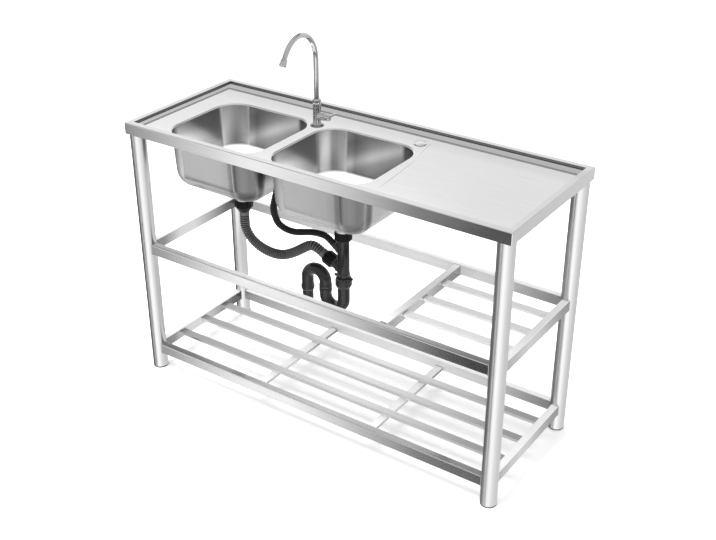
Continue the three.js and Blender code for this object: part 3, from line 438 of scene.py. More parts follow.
def plasticMaterial(name, dark, light, rough, gloss=0.5, bump=0.06):
    material, tree, shader = startMaterial(name, {"Metallic": 0.0, "Specular IOR Level": gloss})
    mould = addNode(tree, "Group", {"Bump": bump}, node_tree=mouldGroup)
    base = addRamp(tree, mould["Dust"], [(0.35, dark), (0.75, light)])
    finishMaterial(tree, shader, base, fade(tree, mould["Dust"], 0.3, 0.7, *rough), mould["Normal"])
    return material


def bowlMaterials(side):
    # each bowl's inside and outside sheets carry their groups' painted light and shade; satin is their roughness
    middle = boxCentre(f"{side}_bowl").x
    inside = steelMaterial(f"satinBowlInsidePaintedShade_{side}", (0.84, 0.92), (0.32, 0.38), (60, 60, 4), 0.02,
                           0.95, makeBowlInsideGroup(side), (0.5, 0.1), {"Middle": middle})
    given = {"Middle": middle, "Under": bowlPaintedShade["under"][side], "Front": bowlPaintedShade["frontLevel"][side]}
    outside = steelMaterial(f"satinBowlOutsidePaintedShade_{side}", (0.62, 0.68), (0.24, 0.28), (60, 60, 4), 0.02,
                            shade=bowlOutsideShade, floor=(0.5, 0.25), given=given)
    return inside, outside


bowlSkins = {side: bowlMaterials(side) for side in bothSides}
lengthwise, crosswise, evenly = (3, 220, 220), (220, 3, 220), (90, 90, 90) # brush lines
topSteel = steelMaterial("brushedTop", (0.59, 0.65), (0.15, 0.2), (11, 170, 170), 0.035,
                         shade=topShade)
# the bar steels are copies of one brushed steel with different painted light and shade: the left rails' copy painted
# darker, the rear rails' copy lighter and partly diffuse
barAlongX = steelMaterial("brushedBarAlongX", (0.58, 0.66), (0.13, 0.18), lengthwise,
                          shade=barShades["front"])
barAlongY = steelMaterial("brushedBarAlongY", (0.66, 0.74), (0.16, 0.22), crosswise,
                          shade=barShades["across"], floor=(0.45, 0.3))
barAtLeft = steelMaterial("brushedBarAtLeft", (0.66, 0.74), (0.16, 0.22), crosswise,
                          shade=barShades["atLeft"], floor=(0.45, 0.3))
barAtRear = steelMaterial("brushedBarAtRear", (0.8, 0.88), (0.34, 0.4), lengthwise, metallic=0.6,
                          shade=barShades["rear"])
# the upper slats' steel is a lighter, half-metallic copy: painted light; the lower slats' copy has a painted
# reflection along X
slatSteel = {
    "upper": steelMaterial("brushedHalfShelfSlat", (0.84, 0.92), (0.3, 0.36), lengthwise, metallic=0.5),
    "lower": steelMaterial("brushedLowShelfSlat", (0.74, 0.82), (0.3, 0.36), lengthwise,
                           shade=barShades["slat"]),
}
legSteel = steelMaterial("polishedLeg", (0.6, 0.66), (0.28, 0.32), (260, 260, 3), 0.03)
coverSteel = steelMaterial("brushedHoleCover", (0.58, 0.66), (0.16, 0.22), evenly, 0.02)
drainSteel = steelMaterial("pressedDrain", (0.56, 0.62), (0.18, 0.24), evenly, 0.03)
tapSteel = steelMaterial("polishedTap", (0.44, 0.52), (0.07, 0.1), (300, 300, 12), 0.02)
# the flange is the tap's polished steel painted dark: painted shade round the tap's foot
tapBaseShadedSteel = steelMaterial("polishedTapBasePaintedShade", (0.16, 0.24), (0.08, 0.12), (300, 300, 12), 0.02)
weldSteel = steelMaterial("weldBead", (0.4, 0.55), (0.26, 0.38), (400, 400, 400), 0.25)
wastePlastic = plasticMaterial("blackWaste", (0.005, 0.005, 0.006), (0.01, 0.01, 0.011),
                               (0.12, 0.2), 0.4, 0.05)
nutPlastic = plasticMaterial("blackNut", (0.003, 0.003, 0.003), (0.006, 0.006, 0.006),
                             (0.26, 0.34), 0.1)
# the grooves' materials are much darker than the ridges': painted shade in the grooves
hoseRidge = plasticMaterial("greyHoseRidge", (0.08, 0.08, 0.082), (0.125, 0.125, 0.127),
                            (0.26, 0.36), 0.4)
hoseGrooveShade = plasticMaterial("greyHoseGroovePaintedShade", (0.01, 0.01, 0.011), (0.018, 0.018, 0.019),
                             (0.36, 0.46), 0.15)
thinRidge = plasticMaterial("blackHoseRidge", (0.01, 0.01, 0.01), (0.018, 0.018, 0.018),
                            (0.26, 0.36), 0.16)
thinGrooveShade = plasticMaterial("blackHoseGroovePaintedShade", (0.003, 0.003, 0.003), (0.006, 0.006, 0.006),
                             (0.36, 0.46), 0.1)
footPlastic = plasticMaterial("blackFoot", (0.02, 0.02, 0.021), (0.034, 0.034, 0.034), (0.42, 0.55),
                              bump=0.12)
# the soft steel round them shows no mirror image of these
unmirrored = [wastePlastic, nutPlastic, hoseRidge, thinRidge, legSteel, tapSteel, tapBaseShadedSteel]
print("materials done")


# mesh helpers

def shadeByAngle(mesh, sharpAngle):
    work = bmesh.new()
    work.from_mesh(mesh)
    for face in work.faces:
        face.smooth = True
    for edge in work.edges:
        if len(edge.link_faces) == 2 and edge.calc_face_angle(0) > radians(sharpAngle):
            edge.smooth = False
    work.to_mesh(mesh)
    work.free()


def applyModifiers(piece):
    bpy.context.view_layer.update()
    mesh = bpy.data.meshes.new_from_object(piece.evaluated_get(bpy.context.evaluated_depsgraph_get()))
    piece.modifiers.clear()
    piece.data = mesh


# gives an open sheet its thickness, below or behind the skin that was drawn
def thicken(piece, thickness):
    wall = piece.modifiers.new("sheetThickness", "SOLIDIFY")
    wall.thickness, wall.offset, wall.use_even_offset = thickness, -1, True
    applyModifiers(piece)


def newObject(name, points, faces):
    mesh = bpy.data.meshes.new(name)
    mesh.from_pydata([tuple(p) for p in points], [], faces)
    made = bpy.data.objects.new(name, mesh)
    scene.collection.objects.link(made)
    return made


def addPiece(name, points, faces, material, node=None, body="stand", sharpAngle=34, thickness=0, upFace=None):
    piece = newObject(name, points, faces)
    work = bmesh.new()
    work.from_mesh(piece.data)
    bmesh.ops.remove_doubles(work, verts=work.verts, dist=2e-6)
    bmesh.ops.recalc_face_normals(work, faces=work.faces)
    if upFace is not None: # an open sheet: the face nearest this point looks up
        nearest = min(work.faces, key=lambda face: (face.calc_center_median() - Vector(upFace)).length)
        if nearest.normal.z < 0:
            bmesh.ops.reverse_faces(work, faces=work.faces)
    work.to_mesh(piece.data)
    work.free()
    piece.data.materials.append(material)
    if thickness:
        thicken(piece, thickness)
    shadeByAngle(piece.data, sharpAngle)
    even = piece.modifiers.new("flatFacesFlat", "WEIGHTED_NORMAL")
    even.keep_sharp, even.weight = True, 80
    piece.visible_glossy = material not in unmirrored
    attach(piece, body)
    if node:
        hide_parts(node)
    return piece


def gridFaces(rows, columns, closedRows=False):
    faces = []
    for i in range(rows if closedRows else rows - 1):
        for j in range(columns):
            here, beside, above = i * columns, (j + 1) % columns, ((i + 1) % rows) * columns
            faces.append((here + j, here + beside, above + beside, above + j))
    return faces


# rows of a tube and a flat face on each end
def capped(rows, columns):
    last = (rows - 1) * columns
    return gridFaces(rows, columns) + [tuple(range(columns)), tuple(range(last, last + columns))]


def shifted(faces, offset):
    return [tuple(i + offset for i in face) for face in faces]


def merged(*parts):
    points, faces = [], []
    for partPoints, partFaces in parts:
        faces += shifted(partFaces, len(points))
        points += partPoints
    return points, faces


def ringAngles(count):
    return [2 * pi * k / count for k in range(count)]


def blendCurve(start, middle, end, t):
    return start * (1 - t) ** 2 + middle * 2 * t * (1 - t) + end * t ** 2


# rounds the corners of a (radius, height, grip) outline; corners on the axis stay
def softened(outline, radius, steps=4):
    points = [tuple(p) + (0,) * (3 - len(p)) for p in outline]
    rounded = []
    for i, here in enumerate(points):
        if here[0] < 1e-7:
            rounded.append(here)
            continue
        before, corner, after = [Vector(p[:2]) for p in (points[i - 1], here, points[(i + 1) % len(points)])]
        cut = min(radius, 0.45 * (before - corner).length, 0.45 * (after - corner).length)
        start, end = [corner + (far - corner).normalized() * cut for far in (before, after)]
        for k in range(steps + 1):
            p = blendCurve(start, corner, end, k / steps)
            rounded.append((p.x, p.y, here[2]))
    return rounded


# turns an outline in millimetres about an axis; grip raises that row in ribs round the axis
def turned(outline, origin, axis=(0, 0, 1), sides=64, ribs=0, soft=0.6):
    turn = Vector((0, 0, 1)).rotation_difference(Vector(axis).normalized())
    rows = softened(outline, soft)
    points = []
    for radius, height, grip in rows:
        for angle in ringAngles(sides):
            r = radius + grip * (0.5 + 0.5 * max(-1, min(1, 2.2 * cos(ribs * angle))))
            points.append(Vector(origin) + turn @ Vector((r * cos(angle), r * sin(angle), height)) * mm)
    return points, gridFaces(len(rows), sides, closedRows=True)


def addTurned(name, node, outline, origin, material, axis=(0, 0, 1), soft=0.6, sides=64, ribs=0, body="stand"):
    addPiece(name, *turned(outline, origin, axis, sides, ribs, soft), material, node, body)


# upright, with its heights from the bottom of the node's box
def addUpright(name, node, at, outline, material, **options):
    addTurned(name, node, outline, (at[0], at[1], heights(node)[0]), material, **options)


def roundedLoop(length, width, radius, z, centre, cornerSteps=14):
    points = []
    for corner, (sx, sy) in enumerate([(1, 1), (-1, 1), (-1, -1), (1, -1)]):
        for k in range(cornerSteps + 1):
            angle = (corner + k / cornerSteps) * pi / 2
            x = sx * (length / 2 - radius) + radius * cos(angle)
            y = sy * (width / 2 - radius) + radius * sin(angle)
            points.append(Vector((centre[0] + x, centre[1] + y, z)))
    return points


def circleLoop(radius, z, centre, cornerSteps=14):
    total = 4 * (cornerSteps + 1)
    angles = [2 * pi * (k + 0.5) / total for k in range(total)]
    return [Vector((centre[0] + radius * cos(angle), centre[1] + radius * sin(angle), z)) for angle in angles]


# fills an outline that has holes; a face stays where keep(its middle) is true
def fillFlat(outline, holes, snap, keep):
    rim, edges = [], []
    for loop in (outline, *holes):
        first = len(rim)
        rim += loop
        edges += [(first + k, first + (k + 1) % len(loop)) for k in range(len(loop))]
    flat, _, faces, *_ = delaunay_2d_cdt(rim, edges, [], 0, snap)
    faces = [tuple(face) for face in faces if keep(sum((flat[i] for i in face), Vector((0, 0))) / len(face))]
    return flat, faces


# hoses: the same routes as the model's solids

def routePoint(points, place):
    count = len(points)
    whole = min(int(place), count - 2)
    part = place - whole
    p1, p2 = points[whole], points[whole + 1]
    p0 = points[whole - 1] if whole > 0 else 2 * p1 - p2
    p3 = points[whole + 2] if whole + 2 < count else 2 * p2 - p1
    d0, d1, d2 = [sqrt((b - a).length) for a, b in ((p0, p1), (p1, p2), (p2, p3))]
    t1 = ((p1 - p0) / d0 - (p2 - p0) / (d0 + d1) + (p2 - p1) / d1) * d1
    t2 = ((p2 - p1) / d1 - (p3 - p1) / (d1 + d2) + (p3 - p2) / d2) * d1
    return (p1 + t1 * part + (-3 * p1 + 3 * p2 - 2 * t1 - t2) * part ** 2 + (2 * p1 - 2 * p2 + t1 + t2) * part ** 3)


def evenRoute(points, samples):
    points = [Vector(p) for p in points]
    dense = [routePoint(points, i / 40) for i in range(40 * (len(points) - 1) + 1)]
    along = [0.0]
    for a, b in zip(dense, dense[1:]):
        along.append(along[-1] + (b - a).length)
    even, k = [], 0
    for i in range(samples + 1):
        want = along[-1] * i / samples
        while k < len(along) - 2 and along[k + 1] < want:
            k += 1
        even.append(dense[k].lerp(dense[k + 1], (want - along[k]) / (along[k + 1] - along[k])))
    return even, along[-1]


def headings(path):
    return [(path[min(i + 1, len(path) - 1)] - path[max(i - 1, 0)]).normalized() for i in range(len(path))]


def tubeRings(path, radii, sides):
    points, across = [], None
    for centre, along, radius in zip(path, headings(path), radii):
        if across is None:
            across = Vector((0, 1, 0)).cross(along).normalized()
        across = (across - along * across.dot(along)).normalized()
        over = along.cross(across)
        points += [centre + (across * cos(angle) + over * sin(angle)) * radius for angle in ringAngles(sides)]
    return points


# a pipe along a path, bored through: rings on its skin, then rings of its bore from the far end back
def boredTube(path, radii, bore, sides, borePath=None):
    borePath = borePath or path
    inside = tubeRings(borePath, [bore] * len(borePath), sides)
    points = tubeRings(path, radii, sides)
    for i in reversed(range(len(borePath))):
        points += inside[sides * i:sides * (i + 1)]
    return points, gridFaces(len(points) // sides, sides, closedRows=True)


leftDrain, rightDrain = [boxCentre(f"{side}_strainer_body") for side in bothSides]
waste = dict(
    branchHeight=0.451, branchSlope=26, nutStart=0.033, nutLength=0.034, portHeight=0.503,
    portTurn=(-0.656, -0.264, 0.707), portLength=0.036, pipe=0.017, wall=0.0022, slip=0.0004,
)
branchTurn = Vector((-cos(radians(waste["branchSlope"])), 0, sin(radians(waste["branchSlope"]))))
branchRoot = Vector((rightDrain.x, drainY, waste["branchHeight"]))
portTurn = Vector(waste["portTurn"]).normalized()
portRoot = Vector((rightDrain.x, drainY, waste["portHeight"]))
branchEnd = waste["nutStart"] + waste["nutLength"]
pipeBore, pipeGrip = waste["pipe"] - waste["wall"], waste["pipe"] + waste["slip"]

drainHose = dict(
    radius=0.0145, groove=0.012, bore=0.0108, ribs=54, cuff=0.011, skins=(hoseRidge, hoseGrooveShade),
    route=[
        (leftDrain.x, drainY, 0.5377), (leftDrain.x, drainY, 0.523), (leftDrain.x, drainY, 0.5085),
        (-0.326, drainY, 0.492), (-0.318, drainY, 0.472), (-0.303, drainY, 0.455), (-0.281, drainY, 0.4415),
        (-0.252, drainY, 0.433), (-0.221, drainY, 0.431), (-0.19, drainY, 0.4365), (-0.161, drainY, 0.45),
        (-0.137, drainY, 0.4655), (-0.118, drainY, 0.479), (-0.1025, drainY, 0.4898), (-0.093, drainY, 0.4946),
        (-0.0825, drainY, 0.4966), branchRoot + branchTurn * (branchEnd + 0.03),
        branchRoot + branchTurn * (branchEnd + 0.015), branchRoot + branchTurn * (branchEnd + seatGap),
    ],
)
overflowX, overflowY, overflowTop = -0.152, -0.115, 0.7177
portEnd = waste["portLength"]
overflowHose = dict(
    radius=0.01, groove=0.0086, bore=0.0074, ribs=60, cuff=0.008, skins=(thinRidge, thinGrooveShade),
    route=[
        (overflowX, overflowY, overflowTop), (overflowX, overflowY, overflowTop - 0.01),
        (overflowX, overflowY, overflowTop - 0.021), (overflowX, overflowY - 0.006, overflowTop - 0.045),
        (overflowX, overflowY - 0.016, overflowTop - 0.066), (overflowX, overflowY - 0.023, 0.628),
        (-0.1495, -0.1367, 0.604), (-0.142, -0.1328, 0.582), (-0.126, -0.1243, 0.566), (-0.104, -0.113, 0.5575),
        (-0.082, -0.101, 0.5575), (-0.062, -0.0905, 0.5585), (-0.044, -0.0818, 0.556), (-0.0305, -0.0759, 0.5522),
        portRoot + portTurn * (portEnd + 0.022), portRoot + portTurn * (portEnd + 0.011),
        portRoot + portTurn * (portEnd + seatGap),
    ],
)
ribShape, cuffRise = [0.0, 0.55, 1.0, 1.0, 0.55, 0.0], 0.92 # one rib from groove to groove, and the smooth ends
hoseSides, boreStep = 24, 12


def addHose(name, node, hose):
    perRib = len(ribShape)
    path, length = evenRoute(hose["route"], hose["ribs"] * perRib)
    last = len(path) - 1
    ribbed = lambda ring: min(ring, last - ring) * length / last > hose["cuff"]
    rises = [ribShape[i % perRib] if ribbed(i) else cuffRise for i in range(len(path))]
    radii = [hose["groove"] + (hose["radius"] - hose["groove"]) * rise for rise in rises]
    tube = boredTube(path, radii, hose["bore"], hoseSides, path[::boreStep] + [path[-1]])
    ridge, groove = hose["skins"]
    piece = addPiece(name, *tube, ridge, node, sharpAngle=60)
    piece.data.materials.append(groove)
    # the faces in and beside each groove take the groove material, which is painted shade
    for k, face in enumerate(piece.data.polygons): # a ring of faces after another
        ring = k // hoseSides
        if ring < last and ribbed(ring) and ring % perRib in (0, 4, 5):
            face.material_index = 1
    print(name, "length", round(length, 4))


addHose("drainHoseRibbed", "drain_hose", drainHose)
addHose("overflowHoseRibbed", "overflow_hose", overflowHose)
print("hoses done")


# pressed top

topLow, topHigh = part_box("pressed_top")
top = dict(
    sheet=0.0012, fold=0.0022, rim=0.018, rimDrop=0.005, panelDrop=0.0025, stepRun=0.0022,
    ledgeLeft=0.026, ledgeBack=0.038, lip=0.004, lipSteps=7,
    step=[(0, 0), (0.16, 0.03), (0.32, 0.14), (0.5, 0.5), (0.68, 0.86), (0.84, 0.97),
          (1, 1)], # (run, drop) of a step
)
panelLevel = topHigh.z - top["rimDrop"] - top["panelDrop"]
bowl = dict(flange=0.01, corner=0.068, floor=0.6305, draft=0.008, drop=0.162, fillet=0.052, seatRadius=0.06,
            hole=0.044, holeDrop=0.004, wall=0.001, wallRows=8, filletSteps=12,
            seat=[(0.005, 0), (0.002, 0.0001), (0.0008, 0.0006), (0, 0.0016), (-0.0006, 0.0028), (-0.0016, 0.0037),
                  (-0.003, 0.004)])
bowlSize = [side * mm - 2 * bowl["flange"] for side in boxSpan("left_bowl").xy]


def pointInside(p, loop):
    inside = False
    for a, b in zip(loop, loop[1:] + loop[:1]):
        if (a.y > p.y) != (b.y > p.y) and p.x < (b.x - a.x) * (p.y - a.y) / (b.y - a.y) + a.x:
            inside = not inside
    return inside


def stepLines(edge, direction):
    return sorted(edge + direction * top["stepRun"] * run for run, _ in top["step"])


def sunk(x, y, west, east, south, north):
    depth = min(x - west, east - x, y - south, north - y) / top["stepRun"]
    if depth <= 0:
        return 0
    for (p0, r0), (p1, r1) in zip(top["step"], top["step"][1:]):
        if depth <= p1 + 1e-9:
            return r0 + (r1 - r0) * (depth - p0) / (p1 - p0)
    return 1


# the bowls' openings, grown by this much all round
def openingLoop(centre, grow, z):
    return roundedLoop(bowlSize[0] + 2 * grow, bowlSize[1] + 2 * grow, bowl["corner"] + grow, z, centre)


def addTop():
    west, east, south, north = topLow.x, topHigh.x, topLow.y, topHigh.y
    recess = (west + top["rim"], east - top["rim"], south + top["rim"], north - top["rim"])
    panel = (recess[0] + top["ledgeLeft"], recess[1], recess[2], recess[3] - top["ledgeBack"])
    fold = top["fold"]
    xs = [west + fold, *stepLines(recess[0], 1), *stepLines(panel[0], 1), *stepLines(recess[1], -1), east - fold]
    ys = [south + fold, *stepLines(recess[2], 1), *stepLines(panel[3], -1), *stepLines(recess[3], -1), north - fold]
    level = lambda x, y: topHigh.z - top["rimDrop"] * sunk(x, y, *recess) - top["panelDrop"] * sunk(x, y, *panel)
    points = [Vector((x, y, level(x, y))) for y in ys for x in xs]
    bigColumn, bigRow = xs.index(max(stepLines(panel[0], 1))), ys.index(max(stepLines(recess[2], 1)))
    count = len(xs)
    corners = [i * count + j for i in range(len(ys) - 1) for j in range(count - 1) if (i, j) != (bigRow, bigColumn)]
    faces = [(a, a + 1, a + 1 + count, a + count) for a in corners]

    # folded edge and apron: the grid's outline, moved out and down
    steps, cornerSteps = 6, 5
    bends = [pi / 2 * k / steps for k in range(steps + 1)]
    rows = [(fold * sin(bend), topHigh.z - fold * (1 - cos(bend))) for bend in bends]
    rows += [(fold, topHigh.z - fold - 0.0015), (fold, topLow.z + 0.0015), (fold, topLow.z + 0.0004)]
    sides = [((xs[0], ys[0]), 180, (0, -1), [(x, ys[0]) for x in xs[1:-1]]),
             ((xs[-1], ys[0]), 270, (1, 0), [(xs[-1], y) for y in ys[1:-1]]),
             ((xs[-1], ys[-1]), 0, (0, 1), [(x, ys[-1]) for x in xs[-2:0:-1]]),
             ((xs[0], ys[-1]), 90, (-1, 0), [(xs[0], y) for y in ys[-2:0:-1]])]
    apron = []
    for reach, z in rows:
        for (cx, cy), start, push, side in sides:
            for k in range(cornerSteps + 1):
                angle = radians(start + 90 * k / cornerSteps)
                apron.append(Vector((cx + reach * cos(angle), cy + reach * sin(angle), z)))
            apron += [Vector((x + reach * push[0], y + reach * push[1], z)) for x, y in side]
    parts = [(points, faces), (apron, gridFaces(len(rows), len(apron) // len(rows)))]

    # working surface round the two openings, and the lips that roll down into the bowls
    lip = top["lip"]
    west, east, south, north = xs[bigColumn], xs[bigColumn + 1], ys[bigRow], ys[bigRow + 1]
    flat = [Vector(p) for p in ((west, south), (east, south), (east, north), (west, north))]
    centres = [boxCentre(f"{side}_bowl") for side in bothSides]
    holes = [[p.to_2d() for p in openingLoop(centre, 2 * lip, 0)] for centre in centres]
    deck, deckFaces = fillFlat(flat, holes, 1e-7, lambda p: not any(pointInside(p, hole) for hole in holes))
    parts.append(([Vector((p.x, p.y, panelLevel)) for p in deck], deckFaces))
    bends = [pi / 2 * k / top["lipSteps"] for k in range(1, top["lipSteps"] + 1)]
    rows = [(2 * lip, panelLevel), (lip, panelLevel)]
    rows += [(lip * (1 - sin(bend)), panelLevel - lip * (1 - cos(bend))) for bend in bends]
    for centre in centres:
        roll = [p for grow, z in rows for p in openingLoop(centre, grow, z)]
        parts.append((roll, gridFaces(len(rows), len(holes[0]))))
    addPiece("foldedTop", *merged(*parts), topSteel, "pressed_top", sharpAngle=50, thickness=top["sheet"],
             upFace=(0.4, 0, panelLevel))


def addBowl(side):
    centre = boxCentre(f"{side}_bowl")
    lipEnd = panelLevel - top["lip"]
    flangeTop = heights(f"{side}_bowl")[1]
    fillet, floor = bowl["fillet"], bowl["floor"]
    wallLow = floor + fillet
    lean = lambda z: bowl["draft"] * (flangeTop - z) / bowl["drop"]
    shape = lambda inset, z: roundedLoop(bowlSize[0] - 2 * inset, bowlSize[1] - 2 * inset,
                                         max(bowl["corner"] - inset, 0.012), z, centre)
    points = shape(0, lipEnd)
    for k in range(1, bowl["wallRows"] + 1):
        z = lipEnd + (wallLow - lipEnd) * k / bowl["wallRows"]
        points += shape(lean(z), z)
    for k in range(1, bowl["filletSteps"] + 1):
        angle = pi / 2 * k / bowl["filletSteps"]
        points += shape(lean(wallLow) + fillet * (1 - cos(angle)), wallLow - fillet * sin(angle))
    drain = (centre.x, drainY)
    for grow, sink in bowl["seat"]:
        points += circleLoop(bowl["seatRadius"] + grow, floor - sink, drain)
    points += circleLoop(bowl["hole"], floor - bowl["holeDrop"], drain)
    columns = len(circleLoop(1, 0, drain))
    inside, outside = bowlSkins[side]
    shell = addPiece(f"{side}BowlShell", points, gridFaces(len(points) // columns, columns), inside, f"{side}_bowl",
                     sharpAngle=50, thickness=bowl["wall"], upFace=(centre.x, drainY + 0.09, floor))
    shell.data.materials.append(outside)
    heart = Vector((centre.x, drainY, panelLevel))
    for face in shell.data.polygons: # the far side of the sheet
        if (face.center - heart).dot(face.normal) > 0:
            face.material_index = 1


# low bead where the plate that carries both bowls is welded into the top
plateBead = dict(
    width=0.0016, height=0.00045, samples=120, sides=8,
    path=[(0.024, 0.1655), (0.09, 0.167), (0.138, 0.1672), (0.152, 0.165), (0.162, 0.155), (0.167, 0.14),
          (0.17, 0.119), (0.177, 0.072), (0.192, 0.004), (0.201, -0.075), (0.207, -0.144), (0.2085, -0.19)],
)


def addPlateBead():
    path, _ = evenRoute([(x, y, panelLevel) for x, y in plateBead["path"]], plateBead["samples"])
    sides = plateBead["sides"]
    points = []
    for i, (centre, along) in enumerate(zip(path, headings(path))):
        across = along.cross(Vector((0, 0, 1)))
        taper = min(1, 8 * min(i, len(path) - 1 - i) / len(path) + 0.1)
        for angle in ringAngles(sides):
            points.append(centre + across * plateBead["width"] * taper * cos(angle)
                          + Vector((0, 0, plateBead["height"] * taper * sin(angle))))
    addPiece("plateWeldBead", points, capped(len(path), sides), topSteel, sharpAngle=80)


addTop()
for side in bothSides:
    addBowl(side)
addPlateBead()
print("top and bowls done")


# legs and feet, in millimetres

leg = dict(radius=22.5, bore=21.3, plug=21.0)
legNames = ["front_left", "front_right", "rear_left", "rear_right"]
legCentres = {name: boxCentre(f"leg_{name}") for name in legNames}


def addLeg(name):
    at, r, bore, plug = legCentres[name], leg["radius"], leg["bore"], leg["plug"]
    h = boxSpan(f"leg_{name}").z
    addUpright(f"legTube_{name}", f"leg_{name}", at, [(bore, 0), (r, 0), (r, h), (bore, h)], legSteel, soft=0.4,
               sides=96)
    h = boxSpan(f"foot_{name}").z
    outline = [(0, 0.8), (15.5, 0.8), (16.5, 0), (20.9, 0, 0.6), (21.9, 1.2, 0.6), (21.9, 3.6, 0.6), (21.3, 4),
               (plug, 4), (plug, h - 2), (plug - 2, h), (0, h)]
    addUpright(f"footCap_{name}", f"foot_{name}", at, outline, footPlastic, soft=0.4, sides=160, ribs=40)
    h = boxSpan(f"leg_socket_{name}").z
    outline = [(0, 0), (plug - 1, 0), (plug, 2), (plug, h - 2), (r, h - 2), (r, h), (0, h)]
    addUpright(f"socketPlug_{name}", f"leg_socket_{name}", at, outline, footPlastic, soft=0.4, sides=48)


for name in legNames:
    addLeg(name)
print("legs done")


# rails, slats and their welds

bar = dict(railCorner=0.0028, slatCorner=0.0018, cornerSteps=5, weldGap=0.0003, bead=0.0011, beadRipple=0.0003,
           beadSides=8, beadStep=0.0012)


# draws a bar along axis 0 or 1 and returns the outlines of its two ends; a coped end is scooped to fit round the leg
def addBar(name, node, axis, corner, material, coped=False):
    low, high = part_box(node)
    across = 1 - axis
    middle = (low + high) / 2
    section = roundedLoop(high[across] - low[across], high.z - low.z, corner, 0, (0, 0), bar["cornerSteps"])
    reach = leg["radius"] * mm + bar["weldGap"]
    ends = []
    for end, direction in ((low[axis], -1), (high[axis], 1)):
        row = []
        for offset, rise, _ in section:
            point = Vector((0, 0, middle.z + rise))
            point[axis], point[across] = end, middle[across] + offset
            if coped:
                point[axis] = direction * (abs(legCentres["front_right"][axis]) - sqrt(reach ** 2 - offset ** 2))
            row.append(point)
        ends.append(row)
    points = [a.lerp(b, k) for k in (0, 0.02, 0.5, 0.98, 1) for a, b in zip(*ends)]
    addPiece(name, points, capped(5, len(section)), material, node, sharpAngle=40)
    return [(end, Vector((1 - axis, axis, 0))) for end in ends]


def beadRound(loop, direction):
    dense = []
    for a, b in zip(loop, loop[1:] + loop[:1]):
        cuts = max(1, round((b - a).length / bar["beadStep"]))
        dense += [a.lerp(b, k / cuts) for k in range(cuts)]
    centre, count = sum(dense, Vector()) / len(dense), len(dense)
    points = []
    for i, p in enumerate(dense):
        out = (dense[(i + 1) % count] - dense[i - 1]).normalized().cross(direction).normalized()
        if out.dot(p - centre) < 0:
            out = -out
        size = bar["bead"] + bar["beadRipple"] * cos(i * pi)
        points += [p + (out * cos(angle) + direction * sin(angle)) * size for angle in ringAngles(bar["beadSides"])]
    return points, gridFaces(count, bar["beadSides"], closedRows=True)


def addShelves():
    rail, slat = bar["railCorner"], bar["slatCorner"]
    ends = []
    for level in ("upper", "lower"):
        for side, axis, steel in [("front", 0, barAlongX), ("rear", 0, barAtRear), ("left", 1, barAtLeft),
                                  ("right", 1, barAlongY)]:
            ends += addBar(f"{level}Rail_{side}", f"{level}_rail_{side}", axis, rail, steel, coped=True)
        for place in ("front", "middle", "rear"):
            ends += addBar(f"{level}Slat_{place}", f"{level}_slat_{place}", 0, slat, slatSteel[level])
    ends += addBar("upperDividerRail", "upper_divider_rail", 1, rail, barAlongY)
    for side in bothSides:
        ends += addBar(f"lowerCrossBar_{side}", f"lower_cross_bar_{side}", 1, slat, barAlongY)
    addPiece("frameWelds", *merged(*[beadRound(*end) for end in ends]), weldSteel, sharpAngle=80)


addShelves()
print("shelves done")


# strainers, nuts and pipes; the outlines are in millimetres, from the bottom of the node's box

basket = dict(radius=0.039, floor=0.0012, edge=0.033, sheet=0.0008, sides=72, holeSize=0.0021, holeSides=12,
              holeRings=[(0.0085, 6), (0.0165, 12), (0.0245, 18)])


def circle(radius, sides, x=0, y=0):
    return [Vector((x + radius * cos(angle), y + radius * sin(angle))) for angle in ringAngles(sides)]


def rolledThread(root, crest, start, turns):
    return [p for k in range(turns) for p in ((root, start + 2.2 * k), (crest, start + 2.2 * k + 1.1))]


def addStrainer(side):
    at, node = (boxCentre(f"{side}_strainer_body").x, drainY), f"{side}_strainer_body"
    seat = boxSpan(node).z - 2
    cup = seat - 30
    outline = [(19.8, 0), (20.6, 0), *rolledThread(20.5, 21, 4, 9), (20.6, cup - 6), (38.5, cup), (42.5, cup + 4),
               (42.5, seat), (55.6, seat), (56, seat + 0.4), (53, seat + 1.8), (45.5, seat + 2), (41.3, seat + 0.5),
               (41.3, cup + 4.5), (37.3, cup + 1.2), (19.8, cup - 5)]
    addUpright(f"{side}StrainerCup", node, at, outline, drainSteel, soft=0.9, sides=96)
    span = boxSpan(f"{side}_clamp_nut")
    r, h = span.x / 2, span.z
    outline = [(43, 0), (r - 4, 0), (r - 1.8, 1), (r - 1.2, 2, 1.2), (r - 1.2, h - 2, 1.2), (r - 1.8, h - 1),
               (r - 4, h), (43, h)]
    addUpright(f"{side}ClampNut", f"{side}_clamp_nut", at, outline, nutPlastic, sides=192, ribs=32)
    addBasket(side, *at)


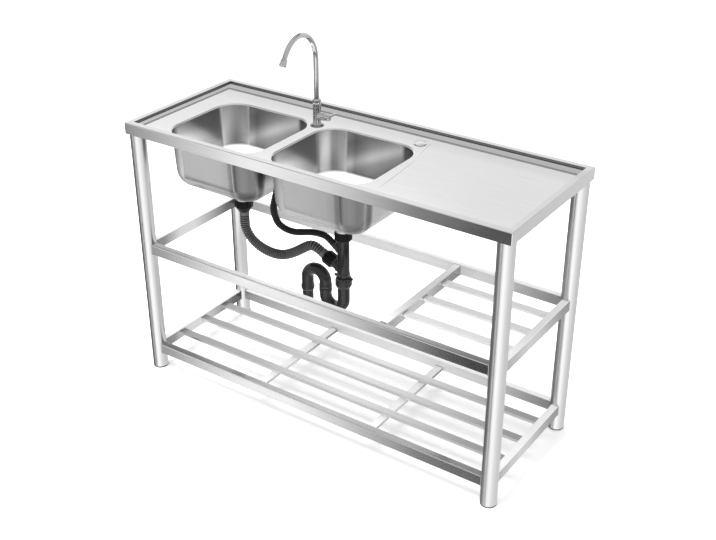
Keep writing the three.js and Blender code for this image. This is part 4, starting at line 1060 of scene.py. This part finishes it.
def addBasket(side, x, y):
    node = f"{side}_strainer_basket"
    low, high = heights(node)
    r, edge, sides, floor = basket["radius"], basket["edge"], basket["sides"], low + basket["floor"]
    middles = [p for ring, count in basket["holeRings"] for p in circle(ring, count)]
    holes = [circle(basket["holeSize"], basket["holeSides"], *middle) for middle in middles]
    flat, flatFaces = fillFlat(circle(edge, sides), holes, 1e-8,
                               lambda p: all((p - middle).length > basket["holeSize"] for middle in middles))
    rows = [(edge, floor), (r - 0.0045, low + 0.0016), (r - 0.0028, low + 0.0032), (r - 0.0012, low + 0.008),
            (r - 0.0004, high - 0.004), (r - 0.0004, high - 0.0025), (r - 0.0012, high - 0.0018),
            (r - 0.003, high - 0.0018)]
    wall = [Vector((p.x, p.y, z)) for radius, z in rows for p in circle(radius, sides, x, y)]
    bottom = [Vector((x + p.x, y + p.y, floor)) for p in flat]
    shell = merged((bottom, flatFaces), (wall, gridFaces(len(rows), sides)))
    body = f"{side}_basket"
    addPiece(f"{side}BasketShell", *shell, drainSteel, node, body, sharpAngle=50, thickness=basket["sheet"],
             upFace=(x + 0.005, y, low))
    h = boxSpan(node).z
    knob = [(0, 0.5), (6.2, 0.5), (6.2, 2.2), (2.4, 4), (2.4, h - 7.5), (6.5, h - 6), (7.8, h - 4), (6.6, h - 1.6),
            (3, h), (0, h)]
    addTurned(f"{side}BasketKnob", None, knob, (x, y, low), drainSteel, body=body, soft=1.2, sides=40)


def addNuts():
    h = boxSpan("right_tail_nut").z
    outline = [(17.4, 0), (22.3, 0), (23.1, 1), (23.5, 3, 1), (23.5, h - 3, 1), (23.1, h - 1.2), (22.5, h),
               (21.4, h), (21.4, 12), (17.4, 12)]
    addUpright("rightTailNut", "right_tail_nut", (rightDrain.x, drainY), outline, nutPlastic, sides=144, ribs=18)
    h = boxSpan("left_tail_nut").z
    outline = [(9.8, 0), (15.5, 0), (16.7, 2), (24.5, 14), (25.5, 17, 1), (25.5, h - 3, 1), (25.1, h - 1.2),
               (24, h), (21.4, h), (21.4, 22), (9.8, 22)]
    addUpright("leftTailNut", "left_tail_nut", (leftDrain.x, drainY), outline, nutPlastic, sides=144, ribs=18)
    outline = [(14.4, 33), (17.5, 33), (19, 35.5), (19.6, 37, 1.4), (19.6, 61, 1.4), (18.5, 64), (16.5, 67),
               (9.8, 67), (9.8, 46.3), (14.4, 46.3)]
    addTurned("hoseNutRibbed", "hose_nut", outline, branchRoot, nutPlastic, branchTurn, sides=120, ribs=12)


def addTee():
    h = boxSpan("waste_tee").z
    pipe = [(14.8, 0), (17, 0), (17, 10), (18.2, 12), (18.2, 14), (17, 16), (17, h - 18), (17.8, h - 17),
            (17.8, h - 16.5), (17, h - 16), (17, h), (14.8, h)]
    branch = [(12, 4), (16.2, 4), (16.2, 16.8), (14.8, 21), (14, 22.5), (14, 46), (12, 46)]
    port = [(8.5, 4), (12.5, 4), (12.5, 19), (10.5, 23.5), (10.5, 27), (11.1, 28), (11.1, 30), (10.5, 31),
            (10.5, 36), (8.5, 36)]
    places = [(pipe, (rightDrain.x, drainY, heights("waste_tee")[0]), (0, 0, 1)), (branch, branchRoot, branchTurn),
              (port, portRoot, portTurn)]
    parts = [turned(outline, root, axis, 56, soft=0.8) for outline, root, axis in places]
    addPiece("wasteTeePipe", *merged(*parts), wastePlastic, "waste_tee")


trap = dict(radius=0.031, lowCentre=0.358, highCentre=0.396, ears=0.0305, earWidth=0.009, earRound=0.0035,
            beadRun=0.0012, endRound=0.0006)


# the ring that clamps the trap, with an ear on each side
def addClampRing():
    low, high = heights("trap_clamp_ring")
    x, y, h = rightDrain.x, drainY, boxSpan("trap_clamp_ring").z
    parts = [turned([(17.4, 0), (19.5, 0), (19.5, h), (17.4, h)], (x, y, low), soft=0.8)]
    half, start, tipRound = trap["earWidth"] / 2, pipeGrip + 0.0008, trap["earRound"]
    for direction in (-1, 1):
        points = []
        for z, inset in [(low + 0.0001, 0.0006), (low + 0.0008, 0), (high - 0.0028, 0), (high - 0.002, 0.0006)]:
            tip, side = trap["ears"] - inset - tipRound, half - inset
            row = [(start, -side), (tip, -side)]
            for k in range(9):
                angle = -pi / 2 + pi * k / 8
                row.append((tip + tipRound * cos(angle), side * sin(angle)))
            row += [(tip, side), (start, side)]
            points += [Vector((x + direction * a, y + direction * b, z)) for a, b in row]
        parts.append((points, capped(4, len(row))))
    addPiece("trapClampRing", *merged(*parts), nutPlastic, "trap_clamp_ring")


def bendRoute(middleX, middleZ, upward, firstZ, lastZ, steps=28):
    r = trap["radius"]
    route = [Vector((middleX + r, drainY, firstZ + (middleZ - firstZ) * k / 6)) for k in range(6)]
    for k in range(steps + 1):
        angle = pi * k / steps
        route.append(Vector((middleX + r * cos(angle), drainY, middleZ + upward * r * sin(angle))))
    return route + [Vector((middleX - r, drainY, middleZ + (lastZ - middleZ) * k / 6)) for k in range(1, 7)]


# a bead is (start, end, height) along the pipe, from its far end where start is below zero
def addBend(name, node, route, bead):
    rings = [route[0]] + [a.lerp(b, k / 3) for a, b in zip(route, route[1:]) for k in (1, 2, 3)]
    total = sum((b - a).length for a, b in zip(rings, rings[1:]))
    start, end, height = bead
    radii, travelled = [], 0
    for before, here in zip(rings[:1] + rings, rings):
        travelled += (here - before).length
        place = travelled if start >= 0 else travelled - total
        grow = height * max(0, min(1, (place - start) / trap["beadRun"], (end - place) / trap["beadRun"]))
        radii.append(waste["pipe"] + grow - max(0, trap["endRound"] - min(travelled, total - travelled)))
    addPiece(name, *boredTube(rings, radii, pipeBore, 56, rings[::3]), wastePlastic, node, sharpAngle=50)


def addTrap():
    addClampRing()
    h = boxSpan("trap_union_nut").z
    outline = [(17.4, 0), (19.3, 0), (20.5, 3), (22.3, 6), (22.7, 8.5, 0.8), (22.7, h - 3, 0.8), (22.2, h - 1),
               (21.5, h), (17.4, h)]
    addUpright("trapUnionNut", "trap_union_nut", (rightDrain.x, drainY), outline, wastePlastic, sides=144, ribs=16)
    r = trap["radius"]
    joint, upperLow = trap["highCentre"] - r / 2, heights("trap_upper_bend")[0]
    lower = bendRoute(rightDrain.x - r, trap["lowCentre"], -1, heights("trap_lower_bend")[1], joint)
    upper = bendRoute(rightDrain.x - 3 * r, trap["highCentre"], 1, joint + seatGap, upperLow)
    addBend("trapLowerBend", "trap_lower_bend", lower, (-0.0145, -0.0005, 0.0012))
    addBend("trapUpperBend", "trap_upper_bend", upper, (0.0005, 0.01, 0.0012))
    h = boxSpan("trap_outlet").z
    seat = (upperLow - seatGap - heights("trap_outlet")[0]) / mm
    outline = [(13.3, 0), (15.5, 0), (15.5, seat - 4), (19, seat - 1), (19, h - 2), (18.6, h), (17.4, h),
               (17.4, seat), (13.3, seat)]
    addUpright("trapOutlet", "trap_outlet", (boxCentre("trap_outlet").x, drainY), outline, wastePlastic)


for side in bothSides:
    addStrainer(side)
addNuts()
addTee()
addTrap()
print("waste done")


# overflow grate and elbow, on the left bowl's right-hand wall

overflow = dict(height=0.742, elbow=0.0115, bore=0.009, behindWall=0.0033, bendRise=0.002, drop=0.024,
                slotPitch=0.0045, slotHalf=0.0011, slotReach=[0.0055, 0.0072, 0.0055])
boxFaces = [(0, 1, 2, 3), (7, 6, 5, 4), (0, 4, 5, 1), (1, 5, 6, 2), (2, 6, 7, 3), (3, 7, 4, 0)]


def addGrate(wall, out):
    outline = [(0, -1.8), (11.5, -1.8), (13.5, -1.4), (18, -1.2), (20, -0.4), (20, -0.3), (10, -0.3), (10, 1),
               (0, 1)]
    grate = addPiece("overflowGrate", *turned(outline, wall, out, soft=0.4), drainSteel, "overflow_grate")
    slots = []
    for k, reach in enumerate(overflow["slotReach"], -1):
        for z in (-0.003, 0.003):
            for a, b in [(-1, -1), (1, -1), (1, 1), (-1, 1)]:
                across = k * overflow["slotPitch"] + a * overflow["slotHalf"]
                slots.append(wall + out * z + Vector((0, across, b * reach)))
    cutter = newObject("overflowSlots", slots, [face for k in range(3) for face in shifted(boxFaces, 8 * k)])
    cut = grate.modifiers.new("slots", "BOOLEAN")
    cut.object, cut.operation, cut.solver = cutter, "DIFFERENCE", "EXACT"
    applyModifiers(grate)
    bpy.data.objects.remove(cutter)


def addOverflow():
    tilt = atan2(bowl["draft"], bowl["drop"])
    out = Vector((cos(tilt), 0, -sin(tilt)))
    lean = bowl["draft"] * (heights("left_bowl")[1] - overflow["height"]) / bowl["drop"]
    wall = Vector((boxCentre("left_bowl").x + bowlSize[0] / 2 - lean, overflowY, overflow["height"]))
    addGrate(wall, out)
    r = overflow["elbow"]
    start = wall + Vector((overflow["behindWall"], 0, 0))
    end = Vector((overflowX, overflowY, overflow["height"] - overflow["drop"]))
    bend = Vector((overflowX, overflowY, overflow["height"] + overflow["bendRise"]))
    route = [blendCurve(start, bend, end, k / 20) for k in range(21)]
    radii = [r - 0.0004] + [r] * 15 + [r + 0.0008] * 4 + [r + 0.0002]
    flange = turned([(9, 1.3), (14.5, 1.3), (14.5, 3.8), (9, 3.8)], wall, out, 40, soft=0.5)
    elbow = merged(boredTube(route, radii, overflow["bore"], 40), flange)
    addPiece("overflowElbow", *elbow, wastePlastic, "overflow_elbow")


addOverflow()


# tap

tapAxis = boxCentre("tap_flange")
tap = dict(valveHeight=0.823, spout=0.0071, spoutBore=0.0062, spring=0.98, arch=0.088, sweep=147, tail=0.012, turn=7,
           archSteps=44)
valveRoot = Vector((tapAxis.x, tapAxis.y, tap["valveHeight"]))
valveTurn = (1, 0, 0)
lever = dict(middle=0.0368, start=-0.002, reach=0.041, width=0.011, thickness=0.006, rows=14, columns=24)


def spoutRoute():
    foot, spring, arch, sweep = heights("spout")[0], tap["spring"], tap["arch"], radians(tap["sweep"])
    forward = Vector((sin(radians(tap["turn"])), -cos(radians(tap["turn"])), 0))
    lift = Vector((0, 0, 1))
    base = Vector((tapAxis.x, tapAxis.y, 0))
    route = [base + lift * (foot + (spring - foot) * k / 10) for k in range(10)]
    for k in range(tap["archSteps"] + 1):
        angle = sweep * k / tap["archSteps"]
        route.append(base + lift * spring + forward * arch * (1 - cos(angle)) + lift * arch * sin(angle))
    onward = forward * sin(sweep) + lift * cos(sweep)
    last = route[-1]
    return route + [last + onward * tap["tail"] * k / 3 for k in (1, 2, 3)], onward


def addTap():
    span = boxSpan("tap_flange")
    r, h = span.x / 2, span.z
    outline = [(10.4, 0), (r, 0), (r, 1.2), (r - 1.2, 2.2), (15.4, 3.6), (13, h), (10.4, h)]
    # the flange takes the steel painted dark, painted shade
    addUpright("tapFlange", "tap_flange", tapAxis, outline, tapBaseShadedSteel, sides=72)

    low, h = heights("tap_body")[0], boxSpan("tap_body").z
    shoulder = (heights("tap_flange")[1] + seatGap - low) / mm
    well = (heights("spout")[0] - seatGap - low) / mm
    outline = [(5, 0), (9.4, 0), *rolledThread(9.4, 10, 3, 12), (10, shoulder), (11.2, shoulder), (11.2, h - 3),
               (10.3, h - 2.4), (10.3, h - 1.2), (10.9, h), (7.6, h), (7.6, well), (5, well)]
    housing = [(0, 6), (10.4, 6), (10.4, 19), (11, 20), (11, 24.2), (10.2, 25), (0, 25)]
    parts = [turned(outline, (tapAxis.x, tapAxis.y, low), sides=72, soft=0.5),
             turned(housing, valveRoot, valveTurn, 56)]
    addPiece("tapBodyTurned", *merged(*parts), tapSteel, "tap_body")

    outline = [(0, 25.3), (9, 25.3), (9, 28.6), (5.5, 29.6), (4, 30), (4, 39), (0, 39)]
    addTurned("valveSpindle", "valve_spindle", outline, valveRoot, tapSteel, valveTurn, sides=40, body="lever")
    addLever()

    h = boxSpan("spout_collar").z
    outline = [(7.6, 0), (11.7, 0), (12.2, 1.2), (12.2, h - 2.2), (9.4, h), (7.6, h)]
    addUpright("spoutCollar", "spout_collar", tapAxis, outline, tapSteel)

    route, onward = spoutRoute()
    tube = boredTube(route, [tap["spout"]] * len(route), tap["spoutBore"], 40)
    addPiece("spoutTube", *tube, tapSteel, "spout", "swivel_spout", sharpAngle=50)
    outline = [(7.6, -12), (7.6, -12), (9.2, -10.5), (9.2, -2), (8.4, -1.4), (8.4, -0.4), (9.2, 0.2, 0.6),
               (9.2, 5.8, 0.6), (8.6, 8), (6.8, 8), (6.4, 6.8), (0, 6.8), (0, 0.3), (7.6, 0.3)]
    addTurned("aeratorCap", "aerator", outline, route[-1], tapSteel, onward, 0.5, 120, 30, "swivel_spout")

    span, low = boxSpan("tap_shank_nut"), heights("tap_shank_nut")[0]
    r, h = span.y / 2, span.z
    outline = [(10.4, 0), (r - 1.4, 0), (r, 1), (r, h - 1), (r - 1.4, h), (10.4, h)]
    nut = turned(outline, (tapAxis.x, tapAxis.y, low), sides=6, soft=0.4)
    addPiece("shankNut", *nut, tapSteel, "tap_shank_nut", sharpAngle=25)


# hub on the spindle with a flat tapering lever to the back
def addLever():
    outline = [(4.3, 30.3), (8, 30.3), (9, 31.5), (9, 41.1), (6.8, 43.3), (0, 43.3), (0, 39.3), (4.3, 39.3)]
    hub = turned(outline, valveRoot, valveTurn, 48, soft=0.8)
    rows, columns = lever["rows"], lever["columns"]
    rounded = lambda value: abs(value) ** 0.7 * (1 if value >= 0 else -1)
    points = []
    for i in range(rows + 1):
        t = i / rows
        length = lever["start"] + (lever["reach"] - lever["start"]) * t
        waist = 0.82 + 0.18 * cos(2 * pi * t) # slightly pinched between hub and tip
        endRound = sqrt(max(0.02, 1 - max(0, (t - 0.86) / 0.14) ** 2))
        half = lever["width"] / 2 * waist * endRound
        thick = lever["thickness"] / 2 * (0.8 + 0.2 * (1 - t)) * endRound
        for angle in ringAngles(columns):
            place = (lever["middle"] + half * rounded(cos(angle)), length, thick * rounded(sin(angle)))
            points.append(valveRoot + Vector(place))
    blade = (points, capped(rows + 1, columns))
    addPiece("tapLever", *merged(hub, blade), tapSteel, "tap_lever", "lever", sharpAngle=45)


addTap()
print("tap done")


# cover in the spare tap hole

def addHoleCover():
    span = boxSpan("hole_cover")
    r, seat = span.x / 2, (panelLevel + seatGap - heights("hole_cover")[0]) / mm
    outline = [(0, 0), (12.5, 0), (13.5, 4), (13.5, seat), (r, seat), (r, seat + 0.6), (r - 1.6, seat + 2),
               (r - 3, seat + 2.1), (r - 4.2, seat + 1.3), (r - 9, seat + 1.7), (0, seat + 2.1)]
    addUpright("holeCoverCap", "hole_cover", boxCentre("hole_cover"), outline, coverSteel, soft=0.8, sides=72)


addHoleCover()

print("scene built")
